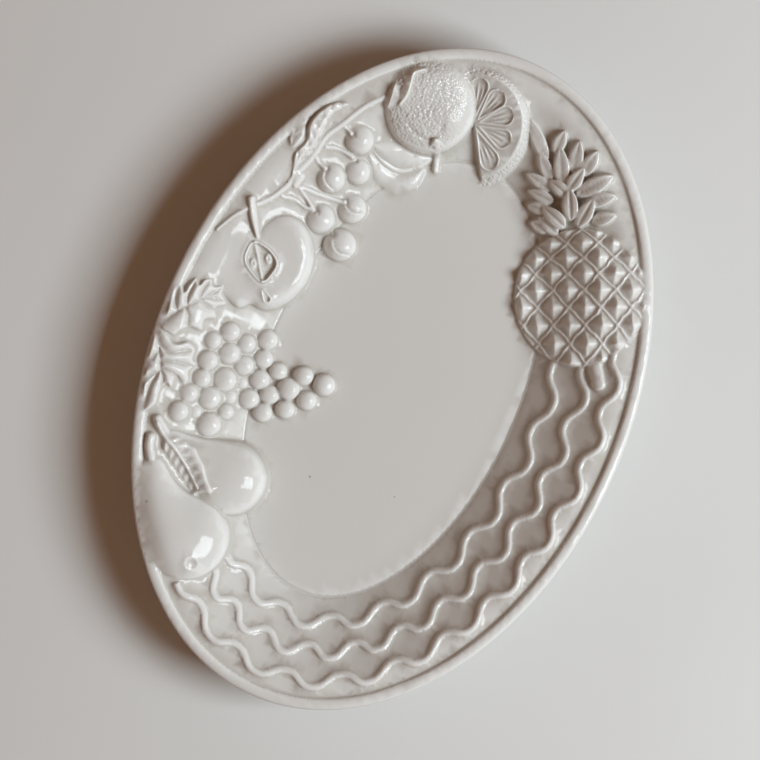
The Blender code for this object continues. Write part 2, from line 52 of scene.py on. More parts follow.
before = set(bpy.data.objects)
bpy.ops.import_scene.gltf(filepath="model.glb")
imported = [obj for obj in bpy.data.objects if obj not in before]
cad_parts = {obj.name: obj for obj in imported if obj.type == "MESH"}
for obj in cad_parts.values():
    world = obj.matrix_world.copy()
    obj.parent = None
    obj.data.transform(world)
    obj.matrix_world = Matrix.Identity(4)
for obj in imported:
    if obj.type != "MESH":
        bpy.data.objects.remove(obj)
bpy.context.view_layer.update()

MM = 0.001
DISH_LOW, DISH_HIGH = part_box("dish")
HALF_WIDTH = (DISH_HIGH.x - DISH_LOW.x) / 2 / MM
HALF_LENGTH = (DISH_HIGH.y - DISH_LOW.y) / 2 / MM

# The photograph, in pixels: its size, and the middle, turn and half length of the dish's outline in it
PHOTO_SIZE = 760
OUTLINE_MIDDLE = (392.3, 379.0)
OUTLINE_TURN = 66.17
OUTLINE_HALF_LENGTH = 346.5
PIXEL = HALF_LENGTH / OUTLINE_HALF_LENGTH

# Clay sheet, in millimetres
PITCH = 0.4
EDGE_INSET = 1.0
RIM_STEPS = 1480
UNDER_STEPS = 370
MESH_LEVELS = 4
NEAR_MESH = 1.2
STEEP = 5.0
ORANGE_GRAIN = 0.16
RIND_GRAIN = 0.16
SLICE_RISE = 0.4
SLICE_LEAN = 0.5
SEGMENT_HALF_WIDTH = 6.8
APPLE_RISE = 5.0
APPLE_BEVEL = 6.4
PEAR_LEAN = 0.45
ORANGE_LEAN = 0.6

# How soft the flange's upper edge is, and how deep the groove beside the rim and the crease by the well are
BORDER_SOFTNESS = 1.0
GROOVE_DEPTH = 0.7
CREASE_DEPTH = 1.3

# Wavy ribs, in metres: from the start of each to its first crest, from crest to crest, and how that changes
RIB_FIRST_CRESTS = (0.027, 0.036, 0.039)
RIB_CREST_GAPS = (0.0360, 0.0385, 0.0420)
RIB_GAP_CHANGES = (0.0, -0.0006, -0.0007)

# Cherries: middle and radius, the pit where the stalk enters, and the crease that runs from it
CHERRIES = (
    ((359, 137, 14.7), (351, 132.5), ((351, 133), (353, 134.5))),
    ((357, 168, 13.0), (353.5, 156.5), ((353, 157), (354, 158.5))),
    ((330, 175, 14.7), (325.5, 167), ((325, 168), (322.5, 176), (326, 184), (332, 189.5))),
    ((319, 215.5, 15.0), (314, 207.5), ((314, 208), (316, 211))),
    ((351, 205, 15.0), (344.5, 199), ((344.5, 200), (345.5, 206), (352, 210.6), (361, 211.5))),
    ((339, 242, 16.8), (331.5, 231), ((331, 238), (332.5, 246), (338, 252), (348, 254.5))),
)
CHERRY_STALKS = (
    ((343, 124), (347, 128), (351, 132.5)),
    ((326, 146), (335, 146.5), (344, 150), (352, 155)),
    ((315, 155), (319, 162), (324.5, 166.5)),
    ((298, 185), (305, 195), (311, 204.5)),
    ((282, 195), (294, 198), (304, 205), (312, 207)),
    ((302, 186), (318, 192), (338, 198), (344, 199)),
    ((329.5, 225), (331, 228), (332, 232)),
)
TWIG = (
    ((384, 97), (368, 104.5), (355, 113.5), (342, 124), (327, 135), (319, 146.5), (312.5, 156))
    + ((304, 165), (295, 174), (289, 182), (283.5, 187.5), (272, 196.5), (259, 203))
    + ((249, 207.5), (236, 214), (224, 223), (217, 229))
)
TWIG_STUB = ((295, 184), (301, 175))
BRANCH_LEAF = (
    ((290, 180), (292, 165), (295, 152), (304, 143), (307.5, 136), (308, 126), (314, 116), (323, 108))
    + ((332, 103), (342, 101.5), (348, 104), (342, 108.5), (334.5, 113), (329, 119), (325, 128))
    + ((320, 140), (316, 149), (307, 158), (298, 167))
)
BRANCH_LEAF_MIDRIB = ((294, 168), (303, 153), (313, 144), (319, 131), (324, 121), (332, 111), (342, 104.5))
RIM_LEAF = (
    ((292, 148), (289, 139), (291, 131), (293.5, 124), (298, 116), (306, 110), (316.5, 105))
    + ((329, 100), (324, 106), (314, 114), (307, 124), (305, 134), (301, 142))
)
RIM_LEAF_MIDRIB = ((292, 146), (295, 132), (302, 119), (314, 109), (327, 101))

# Orange: middle and radius, the bump by its stalk, a crease, the stalk, and the leaves on its shoulder
ORANGE = (430, 103, 46.5)
ORANGE_BUMP = (452, 122, 15)
ORANGE_CREASE = ((409, 125), (421, 134.5), (431, 137), (440, 131), (444, 121))
ORANGE_STALK = ((436, 141), (438, 147), (437.5, 156), (436.5, 165.6))
ORANGE_PRONGS = (((431, 144), (436, 139.5), (443, 143)),)
ORANGE_LEAVES = (
    ((426, 70), (421, 67.5), (412, 69), (407, 75), (402, 75), (404, 83), (401, 90), (398, 99), (397, 105))
    + ((401, 106), (407, 100), (410, 94), (412, 86), (415, 77), (421, 73)),
    ((396, 83), (392.5, 86), (387, 93), (384, 101), (386, 107.5), (391, 107), (397, 103), (399, 95)),
)
ORANGE_LEAF_RIDGES = (
    ((425, 70), (414, 73), (411, 84), (407, 95), (400, 104)),
    ((394, 85), (392, 95), (388, 106)),
)
UPPER_POD = ((371, 141), (381, 138.5), (391, 138), (406, 141), (423, 149.5), (433, 153.6), (425, 160), (412, 165))
UPPER_POD += ((398, 166), (383, 158), (374, 148))
LOWER_POD = ((368, 148), (373, 152), (383, 160), (397.5, 168), (412, 167), (425.4, 163), (425, 170), (421, 179))
LOWER_POD += ((412, 187.4), (397.5, 190.6), (389, 187), (376.6, 179.5), (370, 167))
POD_LIP = ((373, 148), (383, 158.5), (397.5, 166.5), (412, 165.5), (425, 160), (433, 153.6))

# Half slice: the two ends of its cut edge, the hub, and the outer end of each segment
SLICE_EDGE = ((468, 67.5), (484, 184))
SLICE_HUB = (474.5, 121)
SLICE_SEGMENTS = ((480.5, 77), (503, 92), (514, 113), (511, 141), (495, 166))
SLICE_RIND = (4.4, 7.4)

# Pineapple: middle and half sizes, the studs' lattice, and each crown leaf from its root to its tip
PINEAPPLE = (582, 297, 66, 71)
PINEAPPLE_STALK = ((592, 352), (596, 368), (599, 384))
CROWN_LEAVES = (
    ((549, 160), (530, 116.5), 6.5, 1.2),
    ((556, 152), (565, 130), 6.5, 2.6),
    ((564, 184), (561, 146), 7.5, 3.6),
    ((574, 172), (579.5, 140.5), 7.0, 3.0),
    ((582, 176), (598, 151), 7.0, 2.6),
    ((569, 190), (584, 168), 7.0, 4.8),
    ((578, 194), (613.5, 176), 8.0, 3.8),
    ((586, 203), (616, 196), 7.0, 3.2),
    ((593, 221), (616, 215), 6.5, 2.6),
    ((553, 180), (541, 150), 6.0, 2.2),
    ((553, 188), (529, 170), 6.0, 2.4),
    ((556, 200), (531, 187), 6.0, 2.8),
    ((552, 208), (530, 202), 6.5, 2.6),
    ((553, 228), (533, 219), 6.5, 2.6),
    ((560, 232), (541, 214), 6.5, 3.4),
    ((571, 196), (551, 178), 6.5, 4.4),
    ((567, 226), (545, 204), 7.5, 5.2),
    ((579, 226), (594, 198), 7.5, 5.0),
    ((572.5, 220), (570.5, 187), 7.5, 6.0),
)

# Half apple: its outline from the notch round the right lobe, its stalk, core and calyx
APPLE = (
    ((257, 234), (264, 225), (275.5, 216), (288, 214), (301, 220), (309, 231.5), (313, 249), (311, 267))
    + ((302, 286), (288.5, 300), (275.5, 307), (265, 309), (257, 307.5), (249, 303.5), (236, 307))
    + ((224.5, 296), (213.5, 277), (207.8, 260), (208.5, 246), (215, 233), (226, 226), (239, 225), (249, 228))
)
APPLE_MIDDLE = (260, 260)
APPLE_STALK = ((251.5, 199), (253.5, 217), (257, 236))
APPLE_CORE = ((254, 241), (247, 249), (244.5, 260), (251, 272), (261, 281), (270, 274), (276, 262), (268, 249))
APPLE_CORE_RIDGE = ((254, 242), (257, 256), (259, 268), (261.5, 280))
APPLE_SEEDS = ((252.4, 262.5), (267.5, 257.8))
APPLE_CALYX = ((261, 288), (266, 298.5))

# Grapes: middle and radius
GRAPES = (
    ((228, 331, 10), (211, 340, 9), (244, 343, 10), (265, 339, 10.5), (226.5, 353, 11), (206, 360, 10.5))
    + ((261, 358.5, 10), (241, 365, 10.5), (276, 371, 9), (302, 376, 10), (323, 385, 11.5), (222, 379.5, 12.5))
    + ((200, 378, 9.6), (257, 379.5, 10.5), (286.5, 389, 11.7), (207, 398, 11.7), (187, 393, 9.6))
    + ((246, 399, 10.5), (267, 395, 10), (305, 401, 10), (283, 410, 9.6), (260, 413, 10), (177, 411, 10.5))
    + ((193, 412, 6.4), (223, 412, 8.3), (206, 425, 12.5), (227, 397, 7), (239, 383, 6))
)
VINE_LEAVES = (
    (
        ((159, 327), (164, 317), (168.5, 302), (172, 289), (180, 281), (184, 291), (188, 285), (195.5, 277.5))
        + ((199, 284), (204, 279), (210.5, 279), (213.5, 285.5), (225, 285.5), (221, 293), (224, 303))
        + ((215, 307.5), (214.5, 317.5), (204, 320), (200.5, 330), (188.5, 327), (180, 331), (172, 335)),
        (
            ((160, 324), (176, 312), (199, 300), (224, 286)),
            ((177, 311), (175, 298), (180, 283)),
            ((187, 306), (188, 295), (196, 280)),
            ((199, 300), (203, 288), (209, 281)),
            ((185, 307), (188, 315), (187, 325)),
            ((199, 300), (208, 306), (215, 310)),
            ((205, 297), (214, 298), (222, 300)),
        ),
    ),
    (
        ((157, 328), (167, 333), (172, 341), (178, 343), (187.5, 341), (194, 349), (192.5, 359), (195, 364))
        + ((188.5, 371), (188, 380), (181.5, 385), (176, 376), (171, 387), (165, 384), (159, 394))
        + ((156, 403.5), (148, 410), (141, 412), (141.5, 396), (143, 381), (145.5, 365), (151, 341.5)),
        (
            ((157, 330), (159, 349), (160, 368), (150, 385), (143, 408)),
            ((159, 344), (170, 352), (190, 350)),
            ((160, 360), (176, 362), (192, 366)),
            ((160, 368), (170, 372), (182, 383)),
            ((160, 368), (163, 378), (160, 392)),
            ((159, 350), (152, 358), (146, 366)),
            ((158, 372), (150, 376), (144, 380)),
        ),
    ),
)

# Pears: middles and radii down the core from the neck, then stalks, the blossom end and the leaf
FRONT_PEAR = ((152, 470, 13), (155, 484, 17), (160, 499, 21.5), (168, 516, 29), (180, 534, 39), (184, 539, 42))
BACK_PEAR = ((170, 441, 11), (182, 449, 15), (196, 458, 20), (212, 469, 28), (226, 480, 36.5))
PEAR_STALKS = (
    ((150.5, 437, 4.6), (149, 446, 4.6), (151, 458, 4.2)),
    ((157.5, 419, 4.4), (163, 428, 4.0), (170, 440, 3.4)),
)
BLOSSOM_END = (191.5, 563.5, 6.5)
PEAR_LEAF = (
    ((164, 437), (170, 438), (176, 437), (180, 439.5), (185, 441), (189, 444.5), (195, 448), (198, 454))
    + ((201, 460), (204, 466), (206, 475), (208.5, 483), (212, 491), (209, 495), (202, 494), (193, 496))
    + ((188, 491), (184, 484), (179, 476), (175, 469), (170, 462), (166, 455), (162, 449))
)
PEAR_LEAF_MIDRIB = ((157, 424), (163, 435), (173.5, 447), (181.5, 460), (189, 474), (196, 489))


def at(pixels):
    """Photograph pixels as millimetres from the dish's middle, in the dish's own axes."""
    offset = np.atleast_2d(np.array(pixels, float))[:, :2] - OUTLINE_MIDDLE
    sine, cosine = math.sin(math.radians(OUTLINE_TURN)), math.cos(math.radians(OUTLINE_TURN))
    across = offset[:, 0] * sine + offset[:, 1] * cosine
    along = offset[:, 0] * cosine - offset[:, 1] * sine
    return np.stack([across, along], 1) * PIXEL


def rounded(points, steps=6, closed=False):
    """A smooth path through a few points, by Catmull-Rom pieces."""
    points = np.array(points, float)
    if closed:
        padded = np.vstack([points[-1:], points, points[:2]])
    else:
        padded = np.vstack([2 * points[0] - points[1], points, 2 * points[-1] - points[-2]])
    result = []
    for a, b, c, d in zip(padded, padded[1:], padded[2:], padded[3:]):
        for k in range(steps):
            t = k / steps
            square, cube = 2 * a - 5 * b + 4 * c - d, 3 * b - 3 * c + d - a
            result.append((2 * b + (c - a) * t + square * t**2 + cube * t**3) / 2)
    return np.array(result if closed else result + [points[-1]])


def softened(values, width):
    """An array blurred by a bell curve, its width given in lattice steps."""
    reach = max(int(3 * width), 1)
    weights = np.exp(-((np.arange(-reach, reach + 1) / width) ** 2) / 2)
    weights /= weights.sum()
    for axis in (0, 1):
        padding = [(reach, reach) if k == axis else (0, 0) for k in (0, 1)]
        padded = np.pad(values, padding, mode="edge")
        size = values.shape[axis]
        parts = [np.take(padded, range(k, k + size), axis) * weights[k] for k in range(len(weights))]
        values = sum(parts)
    return values


def from_path(path, x, y):
    """For each point: how far along a path its nearest place lies, and how far off it is, left positive."""
    nearest, travel, side = np.full(x.shape, 1e9), np.zeros(x.shape), np.ones(x.shape)
    start = 0.0
    for (ax, ay), (bx, by) in zip(path[:, :2], path[1:, :2]):
        run_x, run_y = bx - ax, by - ay
        length = math.hypot(run_x, run_y) + 1e-9
        share = np.clip(((x - ax) * run_x + (y - ay) * run_y) / length**2, 0, 1)
        off_x, off_y = x - ax - share * run_x, y - ay - share * run_y
        distance = np.hypot(off_x, off_y)
        closer = distance < nearest
        nearest = np.where(closer, distance, nearest)
        travel = np.where(closer, start + share * length, travel)
        side = np.where(closer, np.sign(run_x * off_y - run_y * off_x), side)
        start += length
    return travel, nearest * side


def depth_inside(outline, x, y):
    """How far each point lies inside a closed outline; outside it is negative."""
    closed = np.vstack([outline, outline[:1]])
    distance = np.abs(from_path(closed, x, y)[1])
    inside = np.zeros(x.shape, bool)
    for (ax, ay), (bx, by) in zip(closed, closed[1:]):
        if ay != by:
            crossing = ax + (y - ay) * (bx - ax) / (by - ay)
            inside ^= ((ay > y) != (by > y)) & (x < crossing)
    return np.where(inside, distance, -distance)


def rounded_step(over, softness):
    """Nothing up to a corner and a straight rise after it, with the corner rounded."""
    return (over + np.sqrt(over**2 + 4 * softness**2)) / 2


def bell(distance, width):
    return np.exp(-((distance / width) ** 2))


def swelling(reach, height, fullness=2.2):
    """A rounded form by its share of the way out: full height at 0, and falling away past 1."""
    over = np.clip(reach, 0, 1)
    return height * np.sqrt(1 - over**fullness) - np.clip(reach - 1, 0, None) * 3 * height


class Clay:
    """The upper side of the dish as heights over the table, on a square lattice."""

    def __init__(self, sizes):
        self.sizes = sizes
        counts = [int(half / PITCH) + 4 for half in (HALF_WIDTH, HALF_LENGTH)]
        lines = [np.arange(-count, count + 1) * PITCH for count in counts]
        self.x, self.y = np.meshgrid(*lines, indexing="ij")
        self.lines = lines
        self.inset = self.find_inset(self.x, self.y)
        self.flange = self.slope(self.inset)
        self.rest = self.rest_at(self.inset)
        self.grounds = {
            "table": np.zeros(self.x.shape),
            "flange": self.flange,
            "low": np.minimum(self.flange, self.rest),
            "high": np.maximum(self.flange, self.rest),
        }
        self.height = np.maximum(self.profile(self.inset), self.bead(self.inset))
        outside = self.inset < 0
        self.height[outside] = self.bead(self.inset)[outside]
        self.plain = self.height.copy()
        self.grain = np.zeros(self.x.shape)
        self.pebbled = np.zeros(self.x.shape)

    def find_inset(self, x, y):
        """How far each point lies inside the outer edge, found by halving."""
        low, high = np.full(x.shape, -4.0), np.full(x.shape, HALF_WIDTH - 0.01)
        for _ in range(20):
            middle = (low + high) / 2
            outside = (x / (HALF_WIDTH - middle)) ** 2 + (y / (HALF_LENGTH - middle)) ** 2 > 1
            high = np.where(outside, middle, high)
            low = np.where(outside, low, middle)
        return (low + high) / 2

    def slope(self, inset):
        """A level border, a slope, a cove and the floor, by their inset from the outer edge."""
        sizes = self.sizes
        width, border, cove = (part / MM for part in (sizes.flange_width, sizes.border_width, sizes.cove_width))
        depth, hollow = sizes.well_depth / MM, sizes.flange_hollow
        down = np.minimum(rounded_step(inset - border, BORDER_SOFTNESS) / (width - border), 1)
        flange = self.top() - sizes.flange_rise / MM * ((1 + hollow) * down - hollow * down**2)
        into_cove = np.clip((inset - width) / cove, 0, 1)
        return flange - depth * (1 - (1 - into_cove) ** sizes.cove_hollow)

    def profile(self, inset):
        """The bare slope, with the groove beside the rim and the crease at the edge of the well."""
        groove = GROOVE_DEPTH * bell(inset - self.sizes.bead_width / MM - 0.8, 2.0)
        crease = CREASE_DEPTH * bell(inset - self.sizes.flange_width / MM - 1.0, 1.0)
        return self.slope(inset) - groove - crease

    def top(self):
        sizes = self.sizes
        return (sizes.foot_height + sizes.wall + sizes.well_depth + sizes.flange_rise) / MM

    def rest_at(self, inset):
        """The gentler slope that large fruit lie on, carried on level over the well."""
        sizes = self.sizes
        return self.top() - sizes.rest_rise / MM * np.clip(inset * MM / sizes.flange_width, 0, 1)

    def level_at(self, place, kind="flange"):
        """The bare flange, or the slope that fruit lie on, at one place."""
        inset = self.find_inset(*np.reshape(place, (2, 1)))
        flange, rest = self.slope(inset)[0], self.rest_at(inset)[0]
        return {"flange": flange, "high": max(flange, rest), "low": min(flange, rest)}[kind]

    def bead(self, inset):
        """The top half of the rolled rim."""
        width = self.sizes.bead_width / MM
        middle = self.profile(np.array(width / 2))
        out = np.clip(2 * inset / width - 1, -1, 1)
        return np.where(inset < width, middle + self.sizes.bead_height / MM * np.sqrt(1 - out**2), 0)

    def window(self, points, reach):
        """The stretch of the lattice within a reach of some points."""
        points = np.atleast_2d(points)
        stretch = []
        for axis, line in enumerate(self.lines):
            first = np.searchsorted(line, points[:, axis].min() - reach)
            last = np.searchsorted(line, points[:, axis].max() + reach)
            stretch.append(slice(first, last))
        return tuple(stretch)

    def spread(self, window):
        return self.x[window], self.y[window]

    def raise_on(self, ground, window, up):
        """Raises a form on the flange, the slope for large fruit, the table, or whatever is there already."""
        base = softened(self.height[window], 1.5 / PITCH) if ground == "work" else self.grounds[ground][window]
        self.height[window] = np.maximum(self.height[window], np.where(up > 0, base + up, -1))

    def press(self, window, change):
        self.height[window] += change

    def cord(self, pixels, radii, ground="flange", lifts=(0.0,), steps=6):
        """A round cord half sunk in the clay, with its radii and lifts spread evenly along it."""
        path = rounded(at(pixels), steps)
        shares = np.linspace(0, 1, len(path))
        radii = np.interp(shares, np.linspace(0, 1, len(radii)), radii)
        lifts = np.interp(shares, np.linspace(0, 1, len(lifts)), lifts)
        travelled = np.concatenate([[0], np.cumsum(np.hypot(*np.diff(path, axis=0).T))])
        window = self.window(path, max(radii) + 3)
        travel, off = from_path(path, *self.spread(window))
        radius = np.interp(travel, travelled, radii)
        lift = np.interp(travel, travelled, lifts)
        reach = np.abs(off) / radius
        self.raise_on(ground, window, np.where(reach < 1.15, lift + swelling(reach, 1, 2) * radius, -9))

    def take_cast(self, model, ground):
        """Presses a modelled mesh, made lying on a level table, up out of the clay."""
        vertices = np.empty(len(model.data.vertices) * 3, np.float32)
        model.data.vertices.foreach_get("co", vertices)
        vertices = vertices.reshape(-1, 3) / MM
        tree = BVHTree.FromPolygons(vertices.tolist(), [face.vertices[:] for face in model.data.polygons])
        window = self.window(vertices[:, :2], PITCH)
        x, y = self.spread(window)
        up = np.full(x.shape, -1e3)
        down, ceiling = Vector((0, 0, -1)), 2 * vertices[:, 2].max() + 1
        near = self.near(window, vertices)
        for i, j in zip(*np.nonzero(near)):
            hit = tree.ray_cast((x[i, j], y[i, j], ceiling), down)[0]
            if hit:
                up[i, j] = hit.z
        self.raise_on(ground, window, up)

    def near(self, window, vertices):
        """Which lattice points have some of a mesh close by, so that the others need no ray."""
        mask = np.zeros(self.x.shape, bool)
        places = [np.searchsorted(line, vertices[:, axis]) for axis, line in enumerate(self.lines)]
        mask[np.clip(places[0], 0, mask.shape[0] - 1), np.clip(places[1], 0, mask.shape[1] - 1)] = True
        return softened(mask[window].astype(float), NEAR_MESH / PITCH) > 1e-6

    def glaze(self):
        """Softens the clay's edges, fills its corners and lets every form end short of the outer edge."""
        inward = np.clip((self.inset - EDGE_INSET) / 2, 0, 1)
        inward = inward * inward * (3 - 2 * inward)
        height = self.plain + (self.height - self.plain) * inward
        thin = self.sizes.glaze_softness / MM / PITCH
        coat = softened(height, thin)
        fill = np.clip(softened(coat, 2.2 * thin) - coat, 0, None)
        # How hollow each place is against its surroundings, which the glaze paints as shade in the hollows and as a
        # highlight on the ridges.
        self.pool = softened(height, 3 * thin) - height
        self.height = coat + 0.7 * fill + self.grain


class Socket:
    """A node's output, which sums and products can be written with."""

    def __init__(self, web, link):
        self.web = web
        self.link = link

    def of(self, name):
        """Another output of the same node."""
        return Socket(self.web, self.link.node.outputs[name])

    def __add__(self, other):
        return self.web.maths("ADD", self, other)

    __radd__ = __add__

    def __sub__(self, other):
        return self.web.maths("SUBTRACT", self, other)

    def __rsub__(self, other):
        return self.web.maths("SUBTRACT", other, self)

    def __mul__(self, other):
        return self.web.maths("MULTIPLY", self, other)

    __rmul__ = __mul__

    def __truediv__(self, other):
        return self.web.maths("DIVIDE", self, other)

    def __pow__(self, other):
        return self.web.maths("POWER", self, other)


class Web:
    """A node tree, with one way to add any node to it."""

    def __init__(self, tree):
        self.tree = tree

    def add(self, kind, settings=None, sockets=None, output=0):
        node = self.tree.nodes.new(kind)
        for name, value in (settings or {}).items():
            if name == "stops":
                while len(node.color_ramp.elements) < len(value):
                    node.color_ramp.elements.new(1)
                for element, (position, colour) in zip(node.color_ramp.elements, value):
                    element.position = position
                    element.color = colour
            else:
                setattr(node, name, value)
        for name, value in (sockets or {}).items():
            if isinstance(value, Socket):
                self.tree.links.new(value.link, node.inputs[name])
            else:
                node.inputs[name].default_value = value
        return Socket(self, node.outputs[output])

    def maths(self, operation, first, second=0.0, clamp=False):
        settings = {"operation": operation, "use_clamp": clamp}
        return self.add("ShaderNodeMath", settings, {0: first, 1: second})

    def vector(self, x=0.0, y=0.0, z=0.0):
        return self.add("ShaderNodeCombineXYZ", None, {"X": x, "Y": y, "Z": z})

    def blend(self, share, first, second, kind="MIX"):
        settings = {"data_type": "RGBA", "blend_type": kind}
        return self.add("ShaderNodeMix", settings, {0: share, 6: first, 7: second}, 2)


class Shaping(Web):
    """A geometry node tree with named inputs, which ends in real geometry of one material."""

    def __init__(self, name, inputs, carries_mesh=False):
        super().__init__(bpy.data.node_groups.new(name, "GeometryNodeTree"))
        self.tree.interface.new_socket("Geometry", in_out="OUTPUT", socket_type="NodeSocketGeometry")
        if carries_mesh:
            self.tree.interface.new_socket("Geometry", in_out="INPUT", socket_type="NodeSocketGeometry")
        for label, value in inputs.items():
            kind = "NodeSocketInt" if isinstance(value, int) else "NodeSocketFloat"
            item = self.tree.interface.new_socket(label, in_out="INPUT", socket_type=kind)
            item.default_value = value
        self.given = self.add("NodeGroupInput")

    def read(self, label):
        return self.given.of(label)

    def attribute(self, name, kind="FLOAT"):
        return self.add("GeometryNodeInputNamedAttribute", {"data_type": kind}, {"Name": name})

    def finish(self, geometry, material):
        real = self.add("GeometryNodeRealizeInstances", None, {"Geometry": geometry})
        coated = self.add("GeometryNodeSetMaterial", None, {"Geometry": real, "Material": material})
        self.tree.links.new(coated.link, self.tree.nodes.new("NodeGroupOutput").inputs[0])
        return self.tree


def model_from(name, tree, values, mesh=None):
    """Runs a geometry node tree on an object and keeps the result as a plain mesh."""
    model = bpy.data.objects.new(name, mesh or bpy.data.meshes.new(name))
    bpy.context.scene.collection.objects.link(model)
    modifier = model.modifiers.new("shape", "NODES")
    modifier.node_group = tree
    for item in tree.interface.items_tree:
        if item.in_out == "INPUT" and item.name in values:
            modifier[item.identifier] = values[item.name]
    evaluated = model.evaluated_get(bpy.context.evaluated_depsgraph_get())
    made = bpy.data.meshes.new_from_object(evaluated)
    model.modifiers.clear()
    model.data = made
    return model


def press_model(clay, model, ground):
    """Takes a model's cast into the clay and puts the model away."""
    clay.take_cast(model, ground)
    mesh = model.data
    bpy.data.objects.remove(model)
    bpy.data.meshes.remove(mesh)


def rib_tree(material):
    """One wavy rib: a round cord along an oval that swings in and out, crest by crest."""
    inputs = {
        "Half Width": 0.15,
        "Half Length": 0.22,
        "Inset": 0.02,
        "Swing": 0.004,
        "Radius": 0.002,
        "Start Turn": 0.4,
        "End Turn": -2.1,
        "First Crest": 0.03,
        "Crest Gap": 0.04,
        "Gap Change": 0.0,
    }
    web = Shaping("Wavy rib", inputs)
    points = 600
    line = web.add("GeometryNodeMeshLine", None, {"Count": points})
    share = web.add("GeometryNodeInputIndex") / (points - 1)
    turn = web.read("Start Turn") + (web.read("End Turn") - web.read("Start Turn")) * share
    line = web.add(
        "GeometryNodeStoreNamedAttribute",
        {"data_type": "FLOAT", "domain": "POINT"},
        {"Geometry": line, "Name": "turn", "Value": turn},
    )

    def oval(inset, angle):
        x = (web.read("Half Width") - inset) * web.maths("COSINE", angle)
        y = (web.read("Half Length") - inset) * web.maths("SINE", angle)
        return web.vector(x, y)

    angle = web.attribute("turn")
    placed = oval(web.read("Inset"), angle)
    line = web.add("GeometryNodeSetPosition", None, {"Geometry": line, "Position": placed})
    curve = web.add("GeometryNodeMeshToCurve", None, {"Mesh": line})
    curve = web.add(
        "GeometryNodeResampleCurve", {"mode": "LENGTH"}, {"Curve": curve, "Length": 0.0012}
    )
    travelled = web.add("GeometryNodeSplineParameter").of("Length") - web.read("First Crest")
    gap, change = web.read("Crest Gap"), web.read("Gap Change")
    root = web.maths("SQRT", gap * gap + 4.0 * change * travelled)
    wave = 2.0 * travelled / (gap + root) * math.tau
    swing = web.read("Swing") * (web.maths("COSINE", wave) - 0.06 * web.maths("COSINE", 3.0 * wave))
    swung = oval(web.read("Inset") - swing, angle)
    curve = web.add("GeometryNodeSetPosition", None, {"Geometry": curve, "Position": swung})
    ring = web.add("GeometryNodeCurvePrimitiveCircle", None, {"Resolution": 16, "Radius": web.read("Radius")})
    tube = web.add("GeometryNodeCurveToMesh", None, {"Curve": curve, "Profile Curve": ring, "Fill Caps": True})
    return web.finish(tube, material)


def grape_tree(material):
    """A berry on each point, as large as the point says."""
    web = Shaping("Grapes", {"Segments": 40}, carries_mesh=True)
    berry = web.add(
        "GeometryNodeMeshUVSphere",
        None,
        {"Segments": web.read("Segments"), "Rings": web.read("Segments"), "Radius": 1.0},
    )
    berries = web.add(
        "GeometryNodeInstanceOnPoints",
        None,
        {
            "Points": web.read("Geometry"),
            "Instance": berry,
            "Scale": web.attribute("girth", "FLOAT_VECTOR"),
            "Rotation": web.attribute("heading", "FLOAT_VECTOR"),
        },
    )
    return web.finish(berries, material)


def crown_tree(material):
    """A boat-shaped leaf on each point, with a raised midrib and rims, as long and wide as the point says."""
    web = Shaping("Crown leaves", {"Steps Along": 32, "Steps Across": 17}, carries_mesh=True)
    sheet = web.add(
        "GeometryNodeMeshGrid",
        None,
        {
            "Size X": 1.0,
            "Size Y": 1.0,
            "Vertices X": web.read("Steps Along"),
            "Vertices Y": web.read("Steps Across"),
        },
    )
    where = web.add("ShaderNodeSeparateXYZ", None, {"Vector": web.add("GeometryNodeInputPosition")})
    along, across = where.of("X") + 0.5, where.of("Y") * 2.0
    width = web.maths("SINE", along ** 0.85 * math.pi) ** 0.6
    out = web.maths("ABSOLUTE", across)
    hollow = 1.0 - 0.5 * web.maths("MINIMUM", out, 1.0) ** 2.4
    crease = 0.2 * web.maths("MAXIMUM", 1.0 - out * 3.0, 0.0)
    rim = 0.2 * web.maths("MAXIMUM", 1.0 - web.maths("ABSOLUTE", out - 0.76) * 4.5, 0.0)
    drop = 9.0 * web.maths("MAXIMUM", out - 0.92, 0.0)
    arch = 0.74 + 0.26 * web.maths("SINE", along * math.pi)
    height = (hollow + rim - crease - drop) * arch
    shaped = web.vector(along, across * width, height)
    sheet = web.add("GeometryNodeSetPosition", None, {"Geometry": sheet, "Position": shaped})
    leaves = web.add(
        "GeometryNodeInstanceOnPoints",
        None,
        {
            "Points": web.read("Geometry"),
            "Instance": sheet,
            "Scale": web.attribute("girth", "FLOAT_VECTOR"),
            "Rotation": web.attribute("heading", "FLOAT_VECTOR"),
        },
    )
    return web.finish(leaves, material)


